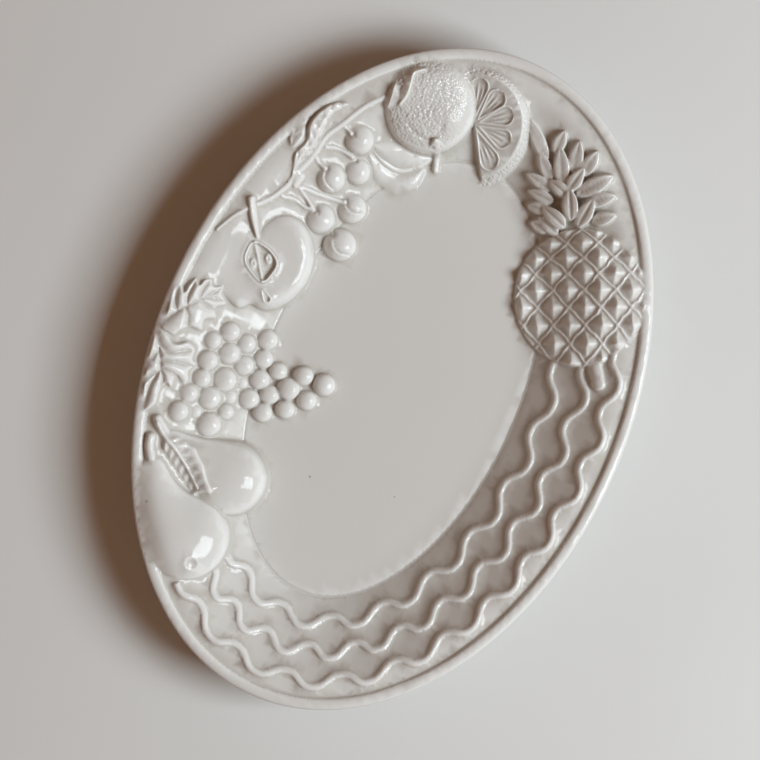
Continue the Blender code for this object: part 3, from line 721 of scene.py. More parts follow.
def pineapple_tree(material):
    """A swelling cut into pyramid studs by two crossing sets of grooves, in the photograph's upright axes."""
    inputs = {
        "Half Width": 0.04,
        "Half Height": 0.045,
        "Swell": 0.0075,
        "Stud Width": 0.0098,
        "Stud Pitch": 0.0196,
        "Pitch Change": 0.001,
        "Stud Rise": 0.0074,
        "Seam": 0.0021,
    }
    web = Shaping("Pineapple", inputs)
    steps = 300
    sheet = web.add(
        "GeometryNodeMeshGrid",
        None,
        {
            "Size X": web.read("Half Width") * 2.04,
            "Size Y": web.read("Half Height") * 2.04,
            "Vertices X": steps,
            "Vertices Y": steps,
        },
    )
    where = web.add("ShaderNodeSeparateXYZ", None, {"Vector": web.add("GeometryNodeInputPosition")})
    x, y = where.of("X"), where.of("Y")
    wobble = web.add(
        "ShaderNodeTexNoise", {"noise_dimensions": "2D"}, {"Vector": web.add("GeometryNodeInputPosition"), "Scale": 130.0}
    ).of("Fac")
    x_wobbly = x + (wobble - 0.5) * 0.0036 + y * 0.035
    down = web.read("Half Height") - y - 0.0195
    pitch, change = web.read("Stud Pitch"), web.read("Pitch Change")
    row = 2.0 * down / (pitch + web.maths("SQRT", pitch * pitch + 4.0 * change * down))
    column = (x_wobbly - 0.0022) / web.read("Stud Width")

    def to_groove(place):
        inside = web.maths("FRACT", place + 20.0)
        return web.maths("MINIMUM", inside, 1.0 - inside)

    edge = 2.0 * web.maths("MINIMUM", to_groove(row + column * 0.5), to_groove(row - column * 0.5))
    seam = web.maths("MAXIMUM", 1.0 - edge * 5.0, 0.0)
    reach = ((x / web.read("Half Width")) ** 2.0 + (y / web.read("Half Height")) ** 2.0) ** 0.5
    inner = 1.0 - web.maths("MINIMUM", reach, 1.0) ** 2.6
    stud = web.maths("MAXIMUM", edge - 0.16, 0.0)
    studs = web.read("Stud Rise") * stud + web.read("Seam") * seam
    height = web.read("Swell") * inner ** 0.5 + studs * web.maths("MINIMUM", inner * 5.0 + 0.35, 1.0)
    height = height - web.maths("MAXIMUM", reach - 0.985, 0.0) * 0.6
    shaped = web.vector(x, y, height)
    sheet = web.add("GeometryNodeSetPosition", None, {"Geometry": sheet, "Position": shaped})
    return web.finish(sheet, material)


def points_mesh(name, places, girths, headings):
    """A mesh of loose points that say how large and which way round what stands on them is."""
    mesh = bpy.data.meshes.new(name)
    mesh.from_pydata([tuple(place) for place in places], [], [])
    for label, rows in (("girth", girths), ("heading", headings)):
        attribute = mesh.attributes.new(label, "FLOAT_VECTOR", "POINT")
        attribute.data.foreach_set("vector", np.array(rows, np.float32).ravel())
    return mesh


def make_ribs(clay, material):
    sizes = clay.sizes
    tree = rib_tree(material)
    for number in range(3):
        values = {
            "Half Width": HALF_WIDTH * MM,
            "Half Length": HALF_LENGTH * MM,
            "Inset": sizes.rib_inset + number * sizes.rib_pitch,
            "Swing": sizes.rib_swing,
            "Radius": sizes.rib_width / 2,
            "Start Turn": math.radians(23),
            "End Turn": math.radians(-122),
            "First Crest": RIB_FIRST_CRESTS[number],
            "Crest Gap": RIB_CREST_GAPS[number],
            "Gap Change": RIB_GAP_CHANGES[number],
        }
        press_model(clay, model_from(f"rib_{number}", tree, values), "flange")


def make_grapes(clay, material):
    """Grapes stand upright on the flange and on the floor of the well, a few sunk between the others."""
    rng = np.random.default_rng(5)
    places, girths, headings = [], [], []
    for px, py, radius in GRAPES:
        place = at((px, py))[0]
        size = radius * PIXEL
        sunk = size < 5.2
        lift = -1.2 if sunk else rng.uniform(0.6, 1.8)
        places.append((place[0] * MM, place[1] * MM, (clay.level_at(place) + lift) * MM))
        stretch = rng.uniform(1.0, 1.06)
        girths.append((size * stretch * MM, size * MM, size * (0.75 if sunk else 0.9) * MM))
        headings.append((0, 0, math.radians(rng.uniform(20, 45))))
    tree = grape_tree(material)
    press_model(clay, model_from("grapes", tree, {}, points_mesh("grape places", places, girths, headings)), "table")


def make_cherries(clay):
    """Cherries stand upright, each with the pit of its stalk and a crease that runs from it."""
    for (px, py, radius), pit, crease in CHERRIES:
        centre, size = at((px, py))[0], radius * PIXEL
        window = clay.window(centre, size + 3)
        x, y = clay.spread(window)
        reach = np.hypot(x - centre[0], y - centre[1]) / size
        top = clay.level_at(centre) + 0.8 + size * 0.86 * np.sqrt(1 - np.minimum(reach, 1) ** 2.1)
        pit_x, pit_y = at(pit)[0]
        top -= 3.4 * bell(np.hypot(x - pit_x, y - pit_y), 2.1)
        travel, off = from_path(rounded(at(crease)), x, y)
        top += 0.7 * bell(off, 0.7) - 1.1 * bell(off - 1.4, 1.0) * (travel > 1)
        top -= np.clip(reach - 1, 0, None) * size * STEEP
        clay.raise_on("table", window, top)
    for stalk in CHERRY_STALKS:
        clay.cord(stalk, (1.3, 1.1, 1.2), lifts=(0.3, 0.8, 3.8))


def make_twig(clay):
    clay.cord(TWIG, (1.7, 1.5, 1.6, 1.9, 1.6, 1.2, 0.9), lifts=(0.6,), steps=3)
    clay.cord(TWIG_STUB, (2.0, 2.2), lifts=(0.9,))


def leaf(clay, outline, veins, thick, bulge, ground, tilt=(0, 0), soft=0.9, vein_height=0.0, vein_width=0.7):
    """A leaf by its outline: it tilts, swells between its veins, and ends in a thin raised edge."""
    outline = rounded(at(outline), 4, closed=True)
    window = clay.window(outline, 3)
    x, y = clay.spread(window)
    depth = depth_inside(outline, x, y)
    to_vein = np.full(x.shape, 1e3)
    for vein in veins:
        to_vein = np.minimum(to_vein, np.abs(from_path(rounded(at(vein), 4), x, y)[1]))
    middle = outline.mean(axis=0)
    up = thick * (1 - np.exp(-np.clip(depth, 0, None) / soft))
    up += bulge * (1 - bell(to_vein, 2.2)) * np.clip(depth / 1.5, 0, 1)
    up += vein_height * bell(to_vein, vein_width) * np.clip(depth / 0.6, 0, 1)
    lean = (x - middle[0]) * tilt[0] + (y - middle[1]) * tilt[1]
    up += np.clip(lean, 0.2 - thick, None) * np.clip(depth / 0.5 + 1, 0, 1)
    clay.raise_on(ground, window, np.where(depth > 0, up, up + 3 * depth))


def side_veins(midrib, count, reach, slant):
    """Short veins that leave a midrib on both sides, in pixels."""
    path = rounded(midrib, 8)
    veins = []
    for number in range(count):
        place = path[int((number + 0.7) / count * (len(path) - 1))]
        ahead = path[min(int((number + 0.7) / count * (len(path) - 1)) + 2, len(path) - 1)]
        run = (ahead - place) / (np.linalg.norm(ahead - place) + 1e-9)
        for side in (1, -1):
            angle = math.radians(slant * side)
            way = np.array([
                run[0] * math.cos(angle) - run[1] * math.sin(angle),
                run[0] * math.sin(angle) + run[1] * math.cos(angle),
            ])
            taper = reach * (1 - 0.5 * number / count)
            veins.append((tuple(place), tuple(place + way * taper * 0.5 + run), tuple(place + way * taper)))
    return veins


def make_leaves(clay):
    veins = [RIM_LEAF_MIDRIB] + side_veins(RIM_LEAF_MIDRIB, 5, 8, 40)
    leaf(clay, RIM_LEAF, veins, 2.2, 1.2, "flange", soft=0.6, vein_height=-0.7)
    veins = [BRANCH_LEAF_MIDRIB] + side_veins(BRANCH_LEAF_MIDRIB, 7, 9, 35)
    leaf(clay, BRANCH_LEAF, veins, 3.2, 1.3, "flange", tilt=(-0.13, 0.05), soft=0.6, vein_height=-0.6)
    clay.cord(BRANCH_LEAF_MIDRIB, (1.0, 0.9, 0.6), "work", lifts=(0.3,))
    for outline, veins in VINE_LEAVES:
        leaf(clay, outline, veins, 2.6, 2.4, "flange", soft=0.5, vein_height=-1.2, vein_width=0.6)


def roughened(x, grain, seed):
    """Even bumps of one size, with a spread of one."""
    rng = np.random.default_rng(seed)
    noise = softened(rng.standard_normal(x.shape), grain / PITCH)
    noise -= softened(noise, 1.6 * grain / PITCH)
    return noise / noise.std()


def make_orange(clay):
    px, py, radius = ORANGE
    centre, size = at((px, py))[0], radius * PIXEL
    window = clay.window(centre, size + 4)
    x, y = clay.spread(window)
    reach = np.hypot(x - centre[0], y - centre[1]) / size
    level = clay.level_at(centre, "high")
    bed = level + ORANGE_LEAN * (clay.grounds["high"][window] - level)
    up = swelling(reach, 12.0, 2.3)
    bump, width = at(ORANGE_BUMP[:2])[0], ORANGE_BUMP[2] * PIXEL
    distance = np.hypot(x - bump[0], y - bump[1])
    up += 1.3 * bell(distance, width * 0.8) * (reach < 1)
    travel, off = from_path(rounded(at(ORANGE_CREASE)), x, y)
    up -= 0.8 * bell(off, 1.2)
    clay.raise_on("table", window, np.where(reach < 1.02, bed + up, -9))
    right = at((OUTLINE_MIDDLE[0] + 1, OUTLINE_MIDDLE[1]))[0]
    sideways = ((x - centre[0]) * right[0] + (y - centre[1]) * right[1]) / np.linalg.norm(right) / size
    even = 1 - 0.4 * bell(distance, width * 0.8) - 0.6 * np.clip((sideways - 0.3) / 0.5, 0, 1)
    even *= np.clip((0.97 - reach) * 14, 0, 1)
    clay.grain[window] += ORANGE_GRAIN * roughened(x, 0.62, 11) * even
    clay.pebbled[window] += even
    for outline, ridge in zip(ORANGE_LEAVES, ORANGE_LEAF_RIDGES):
        leaf(clay, outline, [ridge], 2.0, 0.0, "work", vein_height=1.3, vein_width=1.0)
        bare = depth_inside(rounded(at(outline), 4, closed=True), x, y) < -0.5
        clay.grain[window] *= bare
        clay.pebbled[window] *= bare
    clay.cord(ORANGE_STALK, (2.6, 1.9, 1.9, 1.9), "work", lifts=(1.6, 1.2, 1.6))
    for prong in ORANGE_PRONGS:
        clay.cord(prong, (0.8, 1.8, 0.8), "work", lifts=(0.4,))


def make_pods(clay):
    """Two plump pods side by side under the orange, with a lip between them."""
    for outline, height, soft in ((LOWER_POD, 5.2, 3.6), (UPPER_POD, 5.0, 3.2)):
        path = rounded(at(outline), 5, closed=True)
        window = clay.window(path, 3)
        depth = depth_inside(path, *clay.spread(window))
        up = height * (1 - np.exp(-np.clip(depth, 0, None) / soft)) + np.minimum(depth, 0) * 3
        clay.raise_on("low", window, up)
    clay.cord(POD_LIP, (0.6, 1.2, 1.2, 1.0, 0.7), "work", lifts=(0.0, 0.8, 0.9, 0.6, 0.2))


def make_slice(clay):
    """Half a slice of orange: its cut face leans down to the straight edge inside a rough, falling rind."""
    ends = at(SLICE_EDGE)
    centre = ends.mean(axis=0)
    radius = np.linalg.norm(ends[1] - ends[0]) / 2
    along = (ends[1] - ends[0]) / (2 * radius)
    out = np.array([-along[1], along[0]])
    out *= np.sign(out @ (at(SLICE_SEGMENTS[2])[0] - centre))
    window = clay.window(centre, radius + 4)
    x, y = clay.spread(window)
    u = (x - centre[0]) * along[0] + (y - centre[1]) * along[1]
    v = (x - centre[0]) * out[0] + (y - centre[1]) * out[1]
    high, low = (clay.level_at(end) + SLICE_RISE for end in ends)
    face = (high + low) / 2 + (low - high) / 2 * u / radius + SLICE_LEAN * np.clip(v, 0, None)
    reach = np.hypot(u, v / 0.965)
    rind = np.interp(u / radius, (-1, 0.4), SLICE_RIND)
    into_rind = np.clip((reach - radius + rind) / rind, 0, None)
    height = clay.flange[window] + (face - clay.flange[window]) * (1 - np.minimum(into_rind, 1) ** 1.5)
    height = np.where(into_rind > 0, height, face) + 0.45 * bell(reach - radius + rind, 0.9)
    hub = at(SLICE_HUB)[0]
    for tip in SLICE_SEGMENTS:
        height += slice_segment(x, y, hub, at(tip)[0])
    height = np.where((into_rind < 1) & (v > 0), height, -9)
    clay.raise_on("table", window, height)
    beside = (into_rind >= 1) | (v <= 0)
    clay.grain[window] *= beside
    clay.pebbled[window] *= beside
    on_rind = np.clip(into_rind * 4, 0, 1) * np.clip((1 - into_rind) * 4, 0, 1) * (v > 0)
    clay.grain[window] += RIND_GRAIN * roughened(x, 0.6, 3) * on_rind
    clay.pebbled[window] += 1.2 * on_rind


def slice_segment(x, y, hub, tip):
    """One segment of the slice: a raised outline round a sunk field with a few lines of juice cells."""
    length = np.linalg.norm(tip - hub)
    run = (tip - hub) / length
    s = ((x - hub[0]) * run[0] + (y - hub[1]) * run[1]) / length
    t = -(x - hub[0]) * run[1] + (y - hub[1]) * run[0]
    half = np.clip(s - 0.03, 0, 0.8) * SEGMENT_HALF_WIDTH / 0.72
    cap = np.sqrt(np.clip(1 - (np.clip(s - 0.8, 0, None) / 0.2) ** 2, 0, 1))
    edge = np.minimum(half, SEGMENT_HALF_WIDTH) * cap - np.abs(t)
    inside = (edge > 0) & (s > 0.03) & (s < 1)
    form = 2.4 * bell(edge - 0.9, 0.7) - 1.0
    for lane in (-0.42, 0.05, 0.5):
        form += 1.7 * bell(t - lane * half, 0.55) * bell(s - 0.62 - 0.06 * lane, 0.24)
    return np.where(inside, form, 0)


def make_apple(clay):
    """Half an apple: an even cut face in a bevel, the core's two chambers with their seeds, and the calyx."""
    outline = rounded(at(APPLE), 5, closed=True)
    window = clay.window(outline, 3)
    x, y = clay.spread(window)
    depth = depth_inside(outline, x, y)
    level = clay.level_at(at(APPLE_MIDDLE)[0], "high")
    base = clay.grounds["high"][window]
    face = level + APPLE_RISE + (base - level) * 0.55
    bevel = np.clip(depth / APPLE_BEVEL, 0, 1)
    below = np.minimum(clay.flange[window], face - 2)
    height = below + (face - below) * np.sqrt(1 - (1 - bevel) ** 2.2)
    core = rounded(at(APPLE_CORE), 5, closed=True)
    inside_core = depth_inside(core, x, y)
    height += 1.9 * bell(inside_core, 0.8) + 0.9 * bell(inside_core + 2.2, 0.6) - 1.9 * (inside_core > 0.6)
    ridge = np.abs(from_path(rounded(at(APPLE_CORE_RIDGE)), x, y)[1])
    height += 2.6 * bell(ridge, 0.9) * (inside_core > -0.5) - 0.9 * bell(ridge, 0.35)
    for seed in APPLE_SEEDS:
        place = at(seed)[0]
        u = (x - place[0]) * -0.47 + (y - place[1]) * 0.88
        v = (x - place[0]) * 0.88 + (y - place[1]) * 0.47
        reach = np.hypot(u / 3.6, v / 2.2)
        height += 3.0 * np.sqrt(np.clip(1 - reach**2, 0, 1)) - 2.2 * bell(reach, 0.5)
    top, foot = at(APPLE_CALYX)
    travel, off = from_path(np.array([top, foot]), x, y)
    span = np.linalg.norm(foot - top)
    height += 1.3 * bell(np.abs(off) - 0.5 - travel / span * 1.8, 0.6) * (travel > 0.3)
    height -= 2.4 * bell(np.hypot(x - foot[0], y - foot[1]), 1.2)
    clay.raise_on("table", window, np.where(depth > 0, height, -9))
    clay.cord(APPLE_STALK, (2.3, 2.1, 1.3), "high", lifts=(1.5, 3.0, 4.0))


def make_pears(clay):
    """Two pears, the front one over the rim, with their stalks, a leaf and a blossom end."""
    pear(clay, BACK_PEAR, 0.56)
    pear(clay, FRONT_PEAR, 0.50)
    for stalk in PEAR_STALKS:
        clay.cord([place[:2] for place in stalk], [place[2] * PIXEL for place in stalk], "high", lifts=(1.5,))
    veins = [PEAR_LEAF_MIDRIB] + side_veins(PEAR_LEAF_MIDRIB, 8, 12, 55)
    leaf(clay, PEAR_LEAF, veins, 2.0, 1.9, "work", vein_height=-0.6, vein_width=0.6)
    clay.cord(PEAR_LEAF_MIDRIB, (1.8, 1.3, 1.0, 0.8), "work", lifts=(0.8,))
    px, py, radius = BLOSSOM_END
    centre = at((px, py))[0]
    window = clay.window(centre, 9)
    x, y = clay.spread(window)
    distance = np.hypot(x - centre[0], y - centre[1])
    size = radius * PIXEL
    change = 0.9 * bell(distance - size, 0.9) - 1.5 * bell(distance, size * 0.6) + 1.1 * bell(distance, 1.0)
    clay.press(window, change)


def pear(clay, core, flatness):
    """A pear as the envelope of flattened balls down its core, steep-sided below its widest line."""
    beads = rounded(np.column_stack([at([bead[:2] for bead in core]), [bead[2] * PIXEL for bead in core]]), 10)
    window = clay.window(beads[:, :2], beads[:, 2].max() + 5)
    x, y = clay.spread(window)
    top = np.full(x.shape, -9.0)
    for bx, by, radius in beads:
        bed = (1 - PEAR_LEAN) * clay.level_at((bx, by), "high") + PEAR_LEAN * clay.grounds["high"][window]
        distance = np.hypot(x - bx, y - by)
        dome = radius * flatness * np.sqrt(1 - np.minimum(distance / radius, 1) ** 2.1)
        top = np.maximum(top, bed + dome - np.clip(distance - radius, 0, None) * STEEP)
    clay.raise_on("table", window, top)


def make_pineapple(clay, material):
    px, py, half_width, half_height = PINEAPPLE
    values = {"Half Width": half_width * PIXEL * MM, "Half Height": half_height * PIXEL * MM}
    model = model_from("pineapple", pineapple_tree(material), values)
    turn_to_photo(model, (px, py))
    press_model(clay, model, "low")
    clay.cord(PINEAPPLE_STALK, (5.4, 5.0, 4.6), lifts=(-0.6,))
    places, girths, headings = [], [], []
    for root, tip, half, lift in CROWN_LEAVES:
        start, end = at(root)[0], at(tip)[0]
        run = end - start
        places.append((start[0] * MM, start[1] * MM, 0))
        girths.append((np.linalg.norm(run) * MM, 1.18 * half * PIXEL * MM, (3.8 + 1.3 * lift) * MM))
        headings.append((0, 0, math.atan2(run[1], run[0])))
    mesh = points_mesh("crown places", places, girths, headings)
    press_model(clay, model_from("crown", crown_tree(material), {}, mesh), "flange")


def turn_to_photo(model, middle):
    """Turns a model's mesh from the photograph's upright axes into the dish's, round a pixel."""
    x, y = at(middle)[0]
    right = at((OUTLINE_MIDDLE[0] + 1, OUTLINE_MIDDLE[1]))[0]
    angle = math.atan2(right[1], right[0])
    coordinates = np.empty(len(model.data.vertices) * 3)
    model.data.vertices.foreach_get("co", coordinates)
    coordinates = coordinates.reshape(-1, 3)
    turned = coordinates.copy()
    turned[:, 0] = coordinates[:, 0] * math.cos(angle) - coordinates[:, 1] * math.sin(angle) + x * MM
    turned[:, 1] = coordinates[:, 0] * math.sin(angle) + coordinates[:, 1] * math.cos(angle) + y * MM
    model.data.vertices.foreach_set("co", turned.ravel())


def lattice_points(clay, budget):
    """The lattice points that the skin needs: close together where the clay curves, few where it is even."""
    height, step = clay.height, PITCH
    bend = np.zeros(height.shape)
    inner = (slice(1, -1), slice(1, -1))
    along = np.abs(height[2:, 1:-1] - 2 * height[inner] + height[:-2, 1:-1])
    across = np.abs(height[1:-1, 2:] - 2 * height[inner] + height[1:-1, :-2])
    twist = np.abs(height[2:, 2:] - height[2:, :-2] - height[:-2, 2:] + height[:-2, :-2]) / 4
    bend[inner] = np.maximum(np.maximum(along, across), twist) / step**2
    bend = softened(bend, 1.2)
    usable = clay.inset > EDGE_INSET + 0.35
    rows, columns = np.indices(height.shape)
    level = np.zeros(height.shape, int)
    for k in range(1, MESH_LEVELS + 1):
        level[(rows % 2**k == 0) & (columns % 2**k == 0)] = k
    low, high = 1e-4, 10.0
    for _ in range(24):
        tolerance = math.sqrt(low * high)
        wanted = tolerance / np.maximum(bend, 1e-6)
        coarse = np.clip(np.floor(np.log2(np.maximum(wanted, 1e-9) / step)), 0, MESH_LEVELS)
        keep = usable & (level >= coarse)
        low, high = (tolerance, high) if keep.sum() > budget else (low, tolerance)
    return np.nonzero(keep)


def oval_ring(inset, steps):
    turns = np.arange(steps) * math.tau / steps
    return np.stack([(HALF_WIDTH - inset) * np.cos(turns), (HALF_LENGTH - inset) * np.sin(turns)], 1)


def read_sheet(clay, values, points):
    """A sheet's values at plan points, between its lattice points."""
    place = [(points[:, axis] - line[0]) / PITCH for axis, line in enumerate(clay.lines)]
    i, j = (np.floor(p).astype(int) for p in place)
    a, b = place[0] - i, place[1] - j
    near = values[i, j] * (1 - a) * (1 - b) + values[i + 1, j] * a * (1 - b)
    return near + values[i, j + 1] * (1 - a) * b + values[i + 1, j + 1] * a * b


def under_rings(clay):
    """The rings that close the dish: round the rim, down the outside, round the foot and in to the middle."""
    sizes = clay.sizes
    bead, wall, flange = sizes.bead_width / MM, sizes.wall / MM, sizes.flange_width / MM
    foot, floor = sizes.foot_height / MM, (sizes.foot_height + sizes.wall) / MM
    middle = float(clay.profile(np.array(bead / 2)))
    first = math.degrees(math.acos(1 - 2 * EDGE_INSET / bead))
    rim = []
    for angle in (first * 0.66, first * 0.33, 0, -18, -36, -54, -72):
        inset = bead / 2 - bead / 2 * math.cos(math.radians(angle))
        reach = sizes.bead_height / MM if angle > 0 else sizes.bead_drop / MM
        rim.append((inset, middle + reach * math.sin(math.radians(angle))))
    border, top = sizes.border_width / MM, clay.top()
    outside = [(bead + wall / 2, top - wall), (border, top - wall)]
    for share in (0.25, 0.5, 0.75):
        under = border + (flange - wall - border) * share
        outside.append((under, float(clay.profile(np.array(under))) - wall * 1.15))
    outside.append((flange - wall, float(clay.profile(np.array(flange - wall))) - wall))
    inset, width = sizes.foot_inset / MM, sizes.foot_width / MM
    outside += [(inset - 3.2, floor + 1.0), (inset - 1.0, floor - 2.2), (inset - 0.5, 1.4), (inset, 0.5)]
    outside += [(inset + 1.0, 0.0), (inset + width - 1.0, 0.0), (inset + width, 0.5)]
    outside += [(inset + width + 0.6, foot - 0.8), (inset + width + 1.8, foot), (inset + width + 9, foot + 0.1)]
    return rim, outside


def make_skin(clay, name, material, budget):
    """One closed mesh: the glazed clay above, then ring by ring round the rim and under the dish."""
    ring = oval_ring(EDGE_INSET, RIM_STEPS)
    rows, columns = lattice_points(clay, budget)
    inner = np.stack([clay.lines[0][rows], clay.lines[1][columns]], 1)
    plan = np.vstack([ring, inner])
    heights = np.concatenate([read_sheet(clay, clay.height, ring), clay.height[rows, columns]])
    # The hollowness that the glaze paints as shade and highlight, and where the clay is pebbled.
    sheets = {"pool": clay.pool, "pebbled": clay.pebbled}
    marks = {}
    for label, sheet in sheets.items():
        marks[label] = np.concatenate([read_sheet(clay, sheet, ring), sheet[rows, columns]])
    edges = [(k, (k + 1) % RIM_STEPS) for k in range(RIM_STEPS)]
    result = delaunay_2d_cdt([Vector(point) for point in plan.tolist()], edges, [], 1, 1e-6)
    sources = [origin[0] for origin in result[3]]
    vertices = np.column_stack([plan, heights])[sources].tolist()
    faces = [tuple(face) for face in result[2]]
    place = {origin: k for k, origin in enumerate(sources)}
    last = [place[k] for k in range(RIM_STEPS)]
    rim, outside = under_rings(clay)
    proud = heights[:RIM_STEPS] - float(clay.bead(np.array(EDGE_INSET)))
    for inset, height in rim:
        fade = max(0.0, min(1.0, inset / EDGE_INSET)) if height > rim[2][1] else 0.0
        points = np.column_stack([oval_ring(inset, RIM_STEPS), height + proud * fade])
        last = add_ring(vertices, faces, last, points)
    for inset, height in outside:
        points = np.column_stack([oval_ring(inset, UNDER_STEPS), np.full(UNDER_STEPS, height)])
        last = add_ring(vertices, faces, last, points)
    vertices.append([0.0, 0.0, outside[-1][1]])
    faces += [(last[k], len(vertices) - 1, last[(k + 1) % UNDER_STEPS]) for k in range(UNDER_STEPS)]
    mesh = bpy.data.meshes.new(name)
    mesh.from_pydata((np.array(vertices) * MM).tolist(), [], faces)
    for label, values in marks.items():
        everywhere = np.zeros(len(vertices), np.float32)
        everywhere[: len(sources)] = values[sources]
        mesh.attributes.new(label, "FLOAT", "POINT").data.foreach_set("value", everywhere)
    mesh.shade_smooth()
    mesh.materials.append(material)
    piece = bpy.data.objects.new(name, mesh)
    bpy.context.scene.collection.objects.link(piece)
    return piece


def add_ring(vertices, faces, last, points):
    """Joins a ring of points to the last ring, which may have more of them; the new ring lies outside or below."""
    start = len(vertices)
    vertices += points.tolist()
    new = list(range(start, start + len(points)))
    ratio = len(points) / len(last)
    for k in range(len(last)):
        here, there = last[k], last[(k + 1) % len(last)]
        j = int(k * ratio)
        j_next = int((k + 1) * ratio)
        faces.append((here, new[j % len(new)], there))
        if j_next != j:
            faces.append((there, new[j % len(new)], new[j_next % len(new)]))
    return new


def glaze_material(colours):
    """Tin-white glaze: lighter and a little warmer on the ridges as a painted highlight, darker and browner in the
    hollows as painted shade where the glaze also lies thick, with pinholes and a soft ripple.
    """
    material = bpy.data.materials.new("white glaze")
    material.use_nodes = True
    web = Web(material.node_tree)
    shader = material.node_tree.nodes["Principled BSDF"]
    where = web.add("ShaderNodeTexCoord").of("Object")
    pool = web.add("ShaderNodeAttribute", {"attribute_name": "pool"}).of("Fac")
    # Painted shade: the more hollow a place, the darker and browner the glaze, where it also lies thick; even level
    # clay takes a third of that colour.
    hollow_shade_share = web.maths("MAXIMUM", pool * 1.4 + 0.5, 0.0, clamp=True)
    # Painted highlight: on ridges the glaze turns lighter and a little warmer, where it also lies thin.
    bare = web.maths("MAXIMUM", pool * -1.6, 0.0, clamp=True)
    cloud = web.add("ShaderNodeTexNoise", None, {"Vector": where, "Scale": 14.0, "Detail": 3.0}).of("Fac")
    mottle = web.add("ShaderNodeTexNoise", None, {"Vector": where, "Scale": 160.0, "Detail": 2.0}).of("Fac")
    tone = web.blend(hollow_shade_share * 0.65, (*colours.glaze, 1), (*colours.hollow_shade_colour, 1))
    tone = web.blend(bare * 0.5, tone, (*colours.thin, 1))
    tone = web.blend((cloud - 0.3) * 0.14, tone, (*colours.thin, 1))
    cells = web.add("ShaderNodeTexVoronoi", None, {"Vector": where, "Scale": 90.0, "Randomness": 1.0})
    chosen = web.add("ShaderNodeSeparateXYZ", None, {"Vector": cells.of("Color")})
    speck = web.maths("LESS_THAN", cells, 0.09 * chosen.of("Y")) * web.maths("GREATER_THAN", chosen.of("X"), 0.9)
    tone = web.blend(speck * 0.6, tone, (*colours.speck, 1))
    web.tree.links.new(tone.link, shader.inputs["Base Color"])
    roughness = 0.07 + mottle * 0.05 + speck * 0.4
    web.tree.links.new(roughness.link, shader.inputs["Roughness"])
    ripple = web.add("ShaderNodeTexNoise", None, {"Vector": where, "Scale": 55.0, "Detail": 2.0}).of("Fac")
    pebbled = web.add("ShaderNodeAttribute", {"attribute_name": "pebbled"}).of("Fac")
    pebbles = web.add("ShaderNodeTexVoronoi", None, {"Vector": where, "Scale": 520.0})
    height = ripple * 0.00022 + mottle * 0.00003 - speck * 0.00012 - pebbled * pebbles * 0.0011
    bump = web.add("ShaderNodeBump", None, {"Height": height, "Strength": 0.5, "Distance": 1.0})
    web.tree.links.new(bump.link, shader.inputs["Normal"])
    shader.inputs["IOR"].default_value = 1.4
    shader.inputs["Specular IOR Level"].default_value = 0.3
    return material


def table_material(colours):
    """A plain pale table top with the faintest unevenness."""
    material = bpy.data.materials.new("pale table")
    material.use_nodes = True
    web = Web(material.node_tree)
    shader = material.node_tree.nodes["Principled BSDF"]
    where = web.add("ShaderNodeTexCoord").of("Object")
    cloud = web.add("ShaderNodeTexNoise", None, {"Vector": where, "Scale": 6.0, "Detail": 3.0}).of("Fac")
    tone = web.blend(cloud, (*colours.table, 1), tuple(0.94 * part for part in colours.table) + (1,))
    web.tree.links.new(tone.link, shader.inputs["Base Color"])
    shader.inputs["Roughness"].default_value = 0.6
    return material


def add_light(name, size, energy, colour, azimuth, elevation, distance, target):
    """A soft oblong light that looks at the dish from a compass direction of the photograph and a height."""
    light = bpy.data.lights.new(name, "AREA")
    light.shape = "RECTANGLE"
    light.size, light.size_y = size
    light.energy = energy
    light.color = colour
    obj = bpy.data.objects.new(name, light)
    right, origin = at((OUTLINE_MIDDLE[0] + 1, OUTLINE_MIDDLE[1]))[0], Vector(target)
    turn = math.atan2(right[1], right[0]) + math.radians(azimuth)
    raised = math.radians(elevation)
    away = Vector((math.cos(turn) * math.cos(raised), math.sin(turn) * math.cos(raised), math.sin(raised)))
    obj.location = origin + away * distance
    obj.rotation_euler = away.to_track_quat("Z", "Y").to_euler()
    bpy.context.scene.collection.objects.link(obj)
    return obj


def make_stage(view, colours):
    scene = bpy.context.scene
    table = bpy.data.meshes.new("table_top")
    corners = [(x * view.table_size / 2, y * view.table_size / 2, -0.0002) for x, y in ((-1, -1), (1, -1), (1, 1), (-1, 1))]
    table.from_pydata(corners, [], [(0, 1, 2, 3)])
    table.materials.append(table_material(colours))
    floor = bpy.data.objects.new("table_top", table)
    scene.collection.objects.link(floor)
    middle = at((PHOTO_SIZE / 2, PHOTO_SIZE / 2))[0] * MM
    camera = bpy.data.cameras.new("camera")
    camera.sensor_fit = "HORIZONTAL"
    width = PHOTO_SIZE * PIXEL * MM
    camera.angle = 2 * math.atan(width / 2 / view.camera_distance)
    camera.clip_end = 20
    obj = bpy.data.objects.new("camera", camera)
    right = at((OUTLINE_MIDDLE[0] + 1, OUTLINE_MIDDLE[1]))[0]
    obj.location = (middle[0], middle[1], DISH_HIGH.z - 0.006 + view.camera_distance)
    obj.rotation_euler = (0, 0, math.atan2(right[1], right[0]))
    scene.collection.objects.link(obj)
    scene.camera = obj
    target = (0, 0, 0.02)
    add_light("window", (1.15, 1.15), view.window_power, colours.window, -16, 43, 2.6, target)
    world = bpy.data.worlds.new("room")
    world.use_nodes = True
    background = world.node_tree.nodes["Background"]
    background.inputs["Color"].default_value = (*colours.room, 1)
    background.inputs["Strength"].default_value = view.room_light
    scene.world = world
    scene.view_settings.view_transform = "Standard"


def length(name, description, default):
    return FloatProperty(name=name, description=description, default=default, unit="LENGTH", subtype="DISTANCE")


def colour(name, description, default):
    return FloatVectorProperty(name=name, description=description, default=default, subtype="COLOR", min=0, max=1)


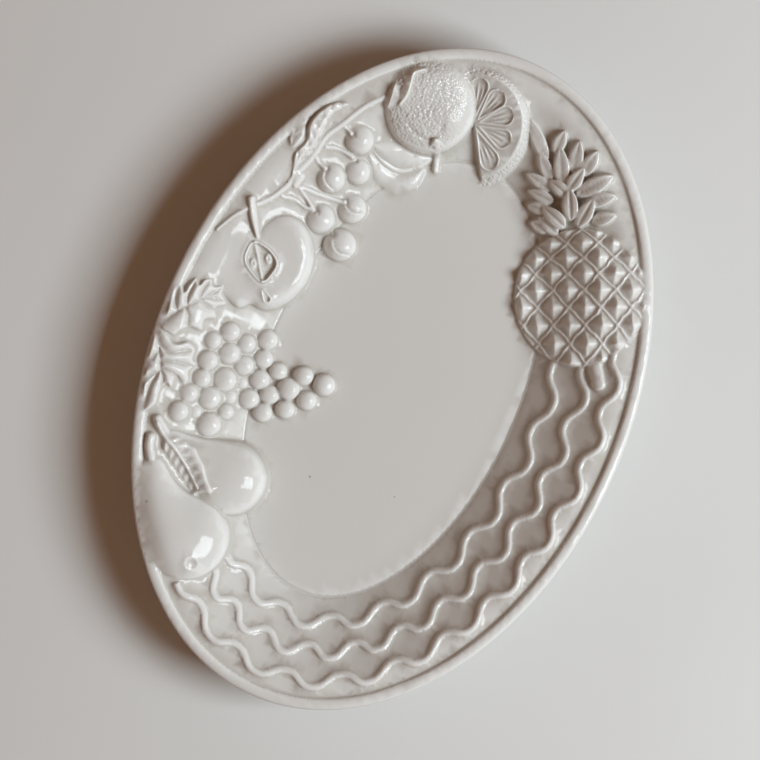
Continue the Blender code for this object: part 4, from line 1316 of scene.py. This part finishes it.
class FaienceSizes(bpy.types.PropertyGroup):
    """The sizes of the plain dish and of what repeats on it."""

    flange_width: length("Flange width", "From the outer edge to the edge of the well", 0.069)
    flange_rise: length("Flange rise", "How much higher the outer edge is than the edge of the well", 0.0319)
    flange_hollow: FloatProperty(name="Flange hollow", description="How much the slope eases inwards", default=0.0)
    border_width: length("Border width", "The level stretch at the flange's outer edge", 0.017)
    rest_rise: length("Rest rise", "How much higher large fruit lie at the edge than at the well", 0.022)
    well_depth: length("Well depth", "From the edge of the well down to its floor", 0.0016)
    cove_width: length("Cove width", "The curved stretch between the flange and the flat floor", 0.012)
    cove_hollow: FloatProperty(name="Cove hollow", description="Higher is steeper at the well's edge", default=2.0)
    wall: length("Wall", "How thick the ware is", 0.0055)
    bead_width: length("Rim width", "Width of the rolled rim", 0.0075)
    bead_height: length("Rim height", "How far the rolled rim stands over the flange", 0.0028)
    bead_drop: length("Rim drop", "How far the rolled rim hangs below its middle", 0.0042)
    foot_height: length("Foot height", "Height of the foot ring", 0.003)
    foot_width: length("Foot width", "Width of the foot ring", 0.006)
    foot_inset: length("Foot inset", "From the outer edge in to the foot ring", 0.073)
    rib_width: length("Rib width", "Thickness of the wavy ribs", 0.0048)
    rib_inset: length("Rib inset", "From the outer edge to the outer rib's middle line", 0.0185)
    rib_pitch: length("Rib pitch", "From one wavy rib to the next", 0.018)
    rib_swing: length("Rib swing", "How far a rib swings to each side", 0.0042)
    glaze_softness: length("Glaze softness", "How far the glaze rounds the clay's edges", 0.00036)
    skin_points: IntProperty(name="Skin points", description="Most points on the upper side", default=80000)


class FaienceColours(bpy.types.PropertyGroup):
    """The colours of the glaze, the table and the room's light."""

    glaze: colour("Glaze", "The glaze where it is even", (0.745, 0.733, 0.712))
    # Painted shade: this darker, browner glaze is mixed in where the clay is hollow.
    hollow_shade_colour: colour("Pooled glaze", "The glaze where it lies thick in hollows", (0.47, 0.425, 0.37))
    # Painted highlight on the ridges, where the glaze also lies thin; also mixed in at random as light clouds.
    thin: colour("Thin glaze", "The glaze where it lies thin on ridges", (0.80, 0.78, 0.745))
    speck: colour("Speck", "Small pinholes and specks in the glaze", (0.30, 0.22, 0.15))
    table: colour("Table", "The pale table top", (0.73, 0.72, 0.70))
    window: colour("Window light", "The daylight from the window", (0.833, 0.94, 1.0))
    room: colour("Room", "The soft light from all round", (1.0, 0.54, 0.30))


class FaienceView(bpy.types.PropertyGroup):
    """The camera and the lights."""

    camera_distance: length("Camera distance", "From the camera down to the rim", 1.6)
    table_size: length("Table size", "Side of the table top", 6.0)
    window_power: FloatProperty(name="Window power", description="Power of the window light", default=74.0)
    room_light: FloatProperty(name="Room light", description="Strength of the light all round", default=0.185)


WORK = {}


class FAIENCE_OT_clay(bpy.types.Operator):
    """Spreads the plain clay of the flange, the well and the rim"""

    bl_idname = "faience.clay"
    bl_label = "Spread Clay"

    def execute(self, context):
        WORK["clay"] = Clay(context.scene.faience_sizes)
        WORK["glaze"] = glaze_material(context.scene.faience_colours)
        return {"FINISHED"}


class FAIENCE_OT_ribs(bpy.types.Operator):
    """Presses the three wavy ribs"""

    bl_idname = "faience.ribs"
    bl_label = "Press Wavy Ribs"

    def execute(self, context):
        make_ribs(WORK["clay"], WORK["glaze"])
        return {"FINISHED"}


class FAIENCE_OT_leaves(bpy.types.Operator):
    """Models the twig, its leaves and the vine leaves"""

    bl_idname = "faience.leaves"
    bl_label = "Model Twig and Leaves"

    def execute(self, context):
        make_leaves(WORK["clay"])
        make_twig(WORK["clay"])
        return {"FINISHED"}


class FAIENCE_OT_citrus(bpy.types.Operator):
    """Models the orange, its half slice and the two pods below it"""

    bl_idname = "faience.citrus"
    bl_label = "Model Orange and Slice"

    def execute(self, context):
        make_pods(WORK["clay"])
        make_orange(WORK["clay"])
        make_slice(WORK["clay"])
        return {"FINISHED"}


class FAIENCE_OT_pineapple(bpy.types.Operator):
    """Presses the pineapple and its crown"""

    bl_idname = "faience.pineapple"
    bl_label = "Press Pineapple"

    def execute(self, context):
        make_pineapple(WORK["clay"], WORK["glaze"])
        return {"FINISHED"}


class FAIENCE_OT_orchard(bpy.types.Operator):
    """Models the cherries, the half apple and the two pears"""

    bl_idname = "faience.orchard"
    bl_label = "Model Orchard Fruit"

    def execute(self, context):
        make_apple(WORK["clay"])
        make_cherries(WORK["clay"])
        make_pears(WORK["clay"])
        return {"FINISHED"}


class FAIENCE_OT_grapes(bpy.types.Operator):
    """Presses the bunch of grapes"""

    bl_idname = "faience.grapes"
    bl_label = "Press Grapes"

    def execute(self, context):
        make_grapes(WORK["clay"], WORK["glaze"])
        return {"FINISHED"}


class FAIENCE_OT_dish(bpy.types.Operator):
    """Glazes the clay and makes it the skin of the finished dish"""

    bl_idname = "faience.dish"
    bl_label = "Glaze and Finish Dish"

    def execute(self, context):
        clay = WORK["clay"]
        clay.glaze()
        dish = make_skin(clay, "fruit_dish", WORK["glaze"], context.scene.faience_sizes.skin_points)
        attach(dish, "root")
        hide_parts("dish")
        return {"FINISHED"}


class FAIENCE_OT_stage(bpy.types.Operator):
    """Makes the table top, the window light and the camera"""

    bl_idname = "faience.stage"
    bl_label = "Set Stage"

    def execute(self, context):
        make_stage(context.scene.faience_view, context.scene.faience_colours)
        return {"FINISHED"}


class FAIENCE_PT_dish(bpy.types.Panel):
    """The steps of making the dish, and its sizes and colours"""

    bl_idname = "FAIENCE_PT_dish"
    bl_label = "Faience Fruit Dish"
    bl_space_type = "VIEW_3D"
    bl_region_type = "UI"
    bl_category = "Dish"

    def draw(self, context):
        for step in STEPS:
            self.layout.operator(step.bl_idname)
        for group in (context.scene.faience_sizes, context.scene.faience_colours, context.scene.faience_view):
            column = self.layout.column()
            for name in group.bl_rna.properties.keys():
                if name not in ("rna_type", "name"):
                    column.prop(group, name)


STEPS = (
    FAIENCE_OT_clay,
    FAIENCE_OT_ribs,
    FAIENCE_OT_leaves,
    FAIENCE_OT_citrus,
    FAIENCE_OT_pineapple,
    FAIENCE_OT_orchard,
    FAIENCE_OT_grapes,
    FAIENCE_OT_dish,
    FAIENCE_OT_stage,
)
GROUPS = {
    "faience_sizes": FaienceSizes,
    "faience_colours": FaienceColours,
    "faience_view": FaienceView,
}


def register():
    for item in (*GROUPS.values(), *STEPS, FAIENCE_PT_dish):
        bpy.utils.register_class(item)
    for name, group in GROUPS.items():
        setattr(bpy.types.Scene, name, PointerProperty(type=group))


def unregister():
    for name in GROUPS:
        delattr(bpy.types.Scene, name)
    for item in reversed((*GROUPS.values(), *STEPS, FAIENCE_PT_dish)):
        bpy.utils.unregister_class(item)


def main():
    register()
    for name in ("clay", "ribs", "leaves", "citrus", "pineapple", "orchard", "grapes", "dish", "stage"):
        getattr(bpy.ops.faience, name)()


if __name__ == "__main__":
    main()
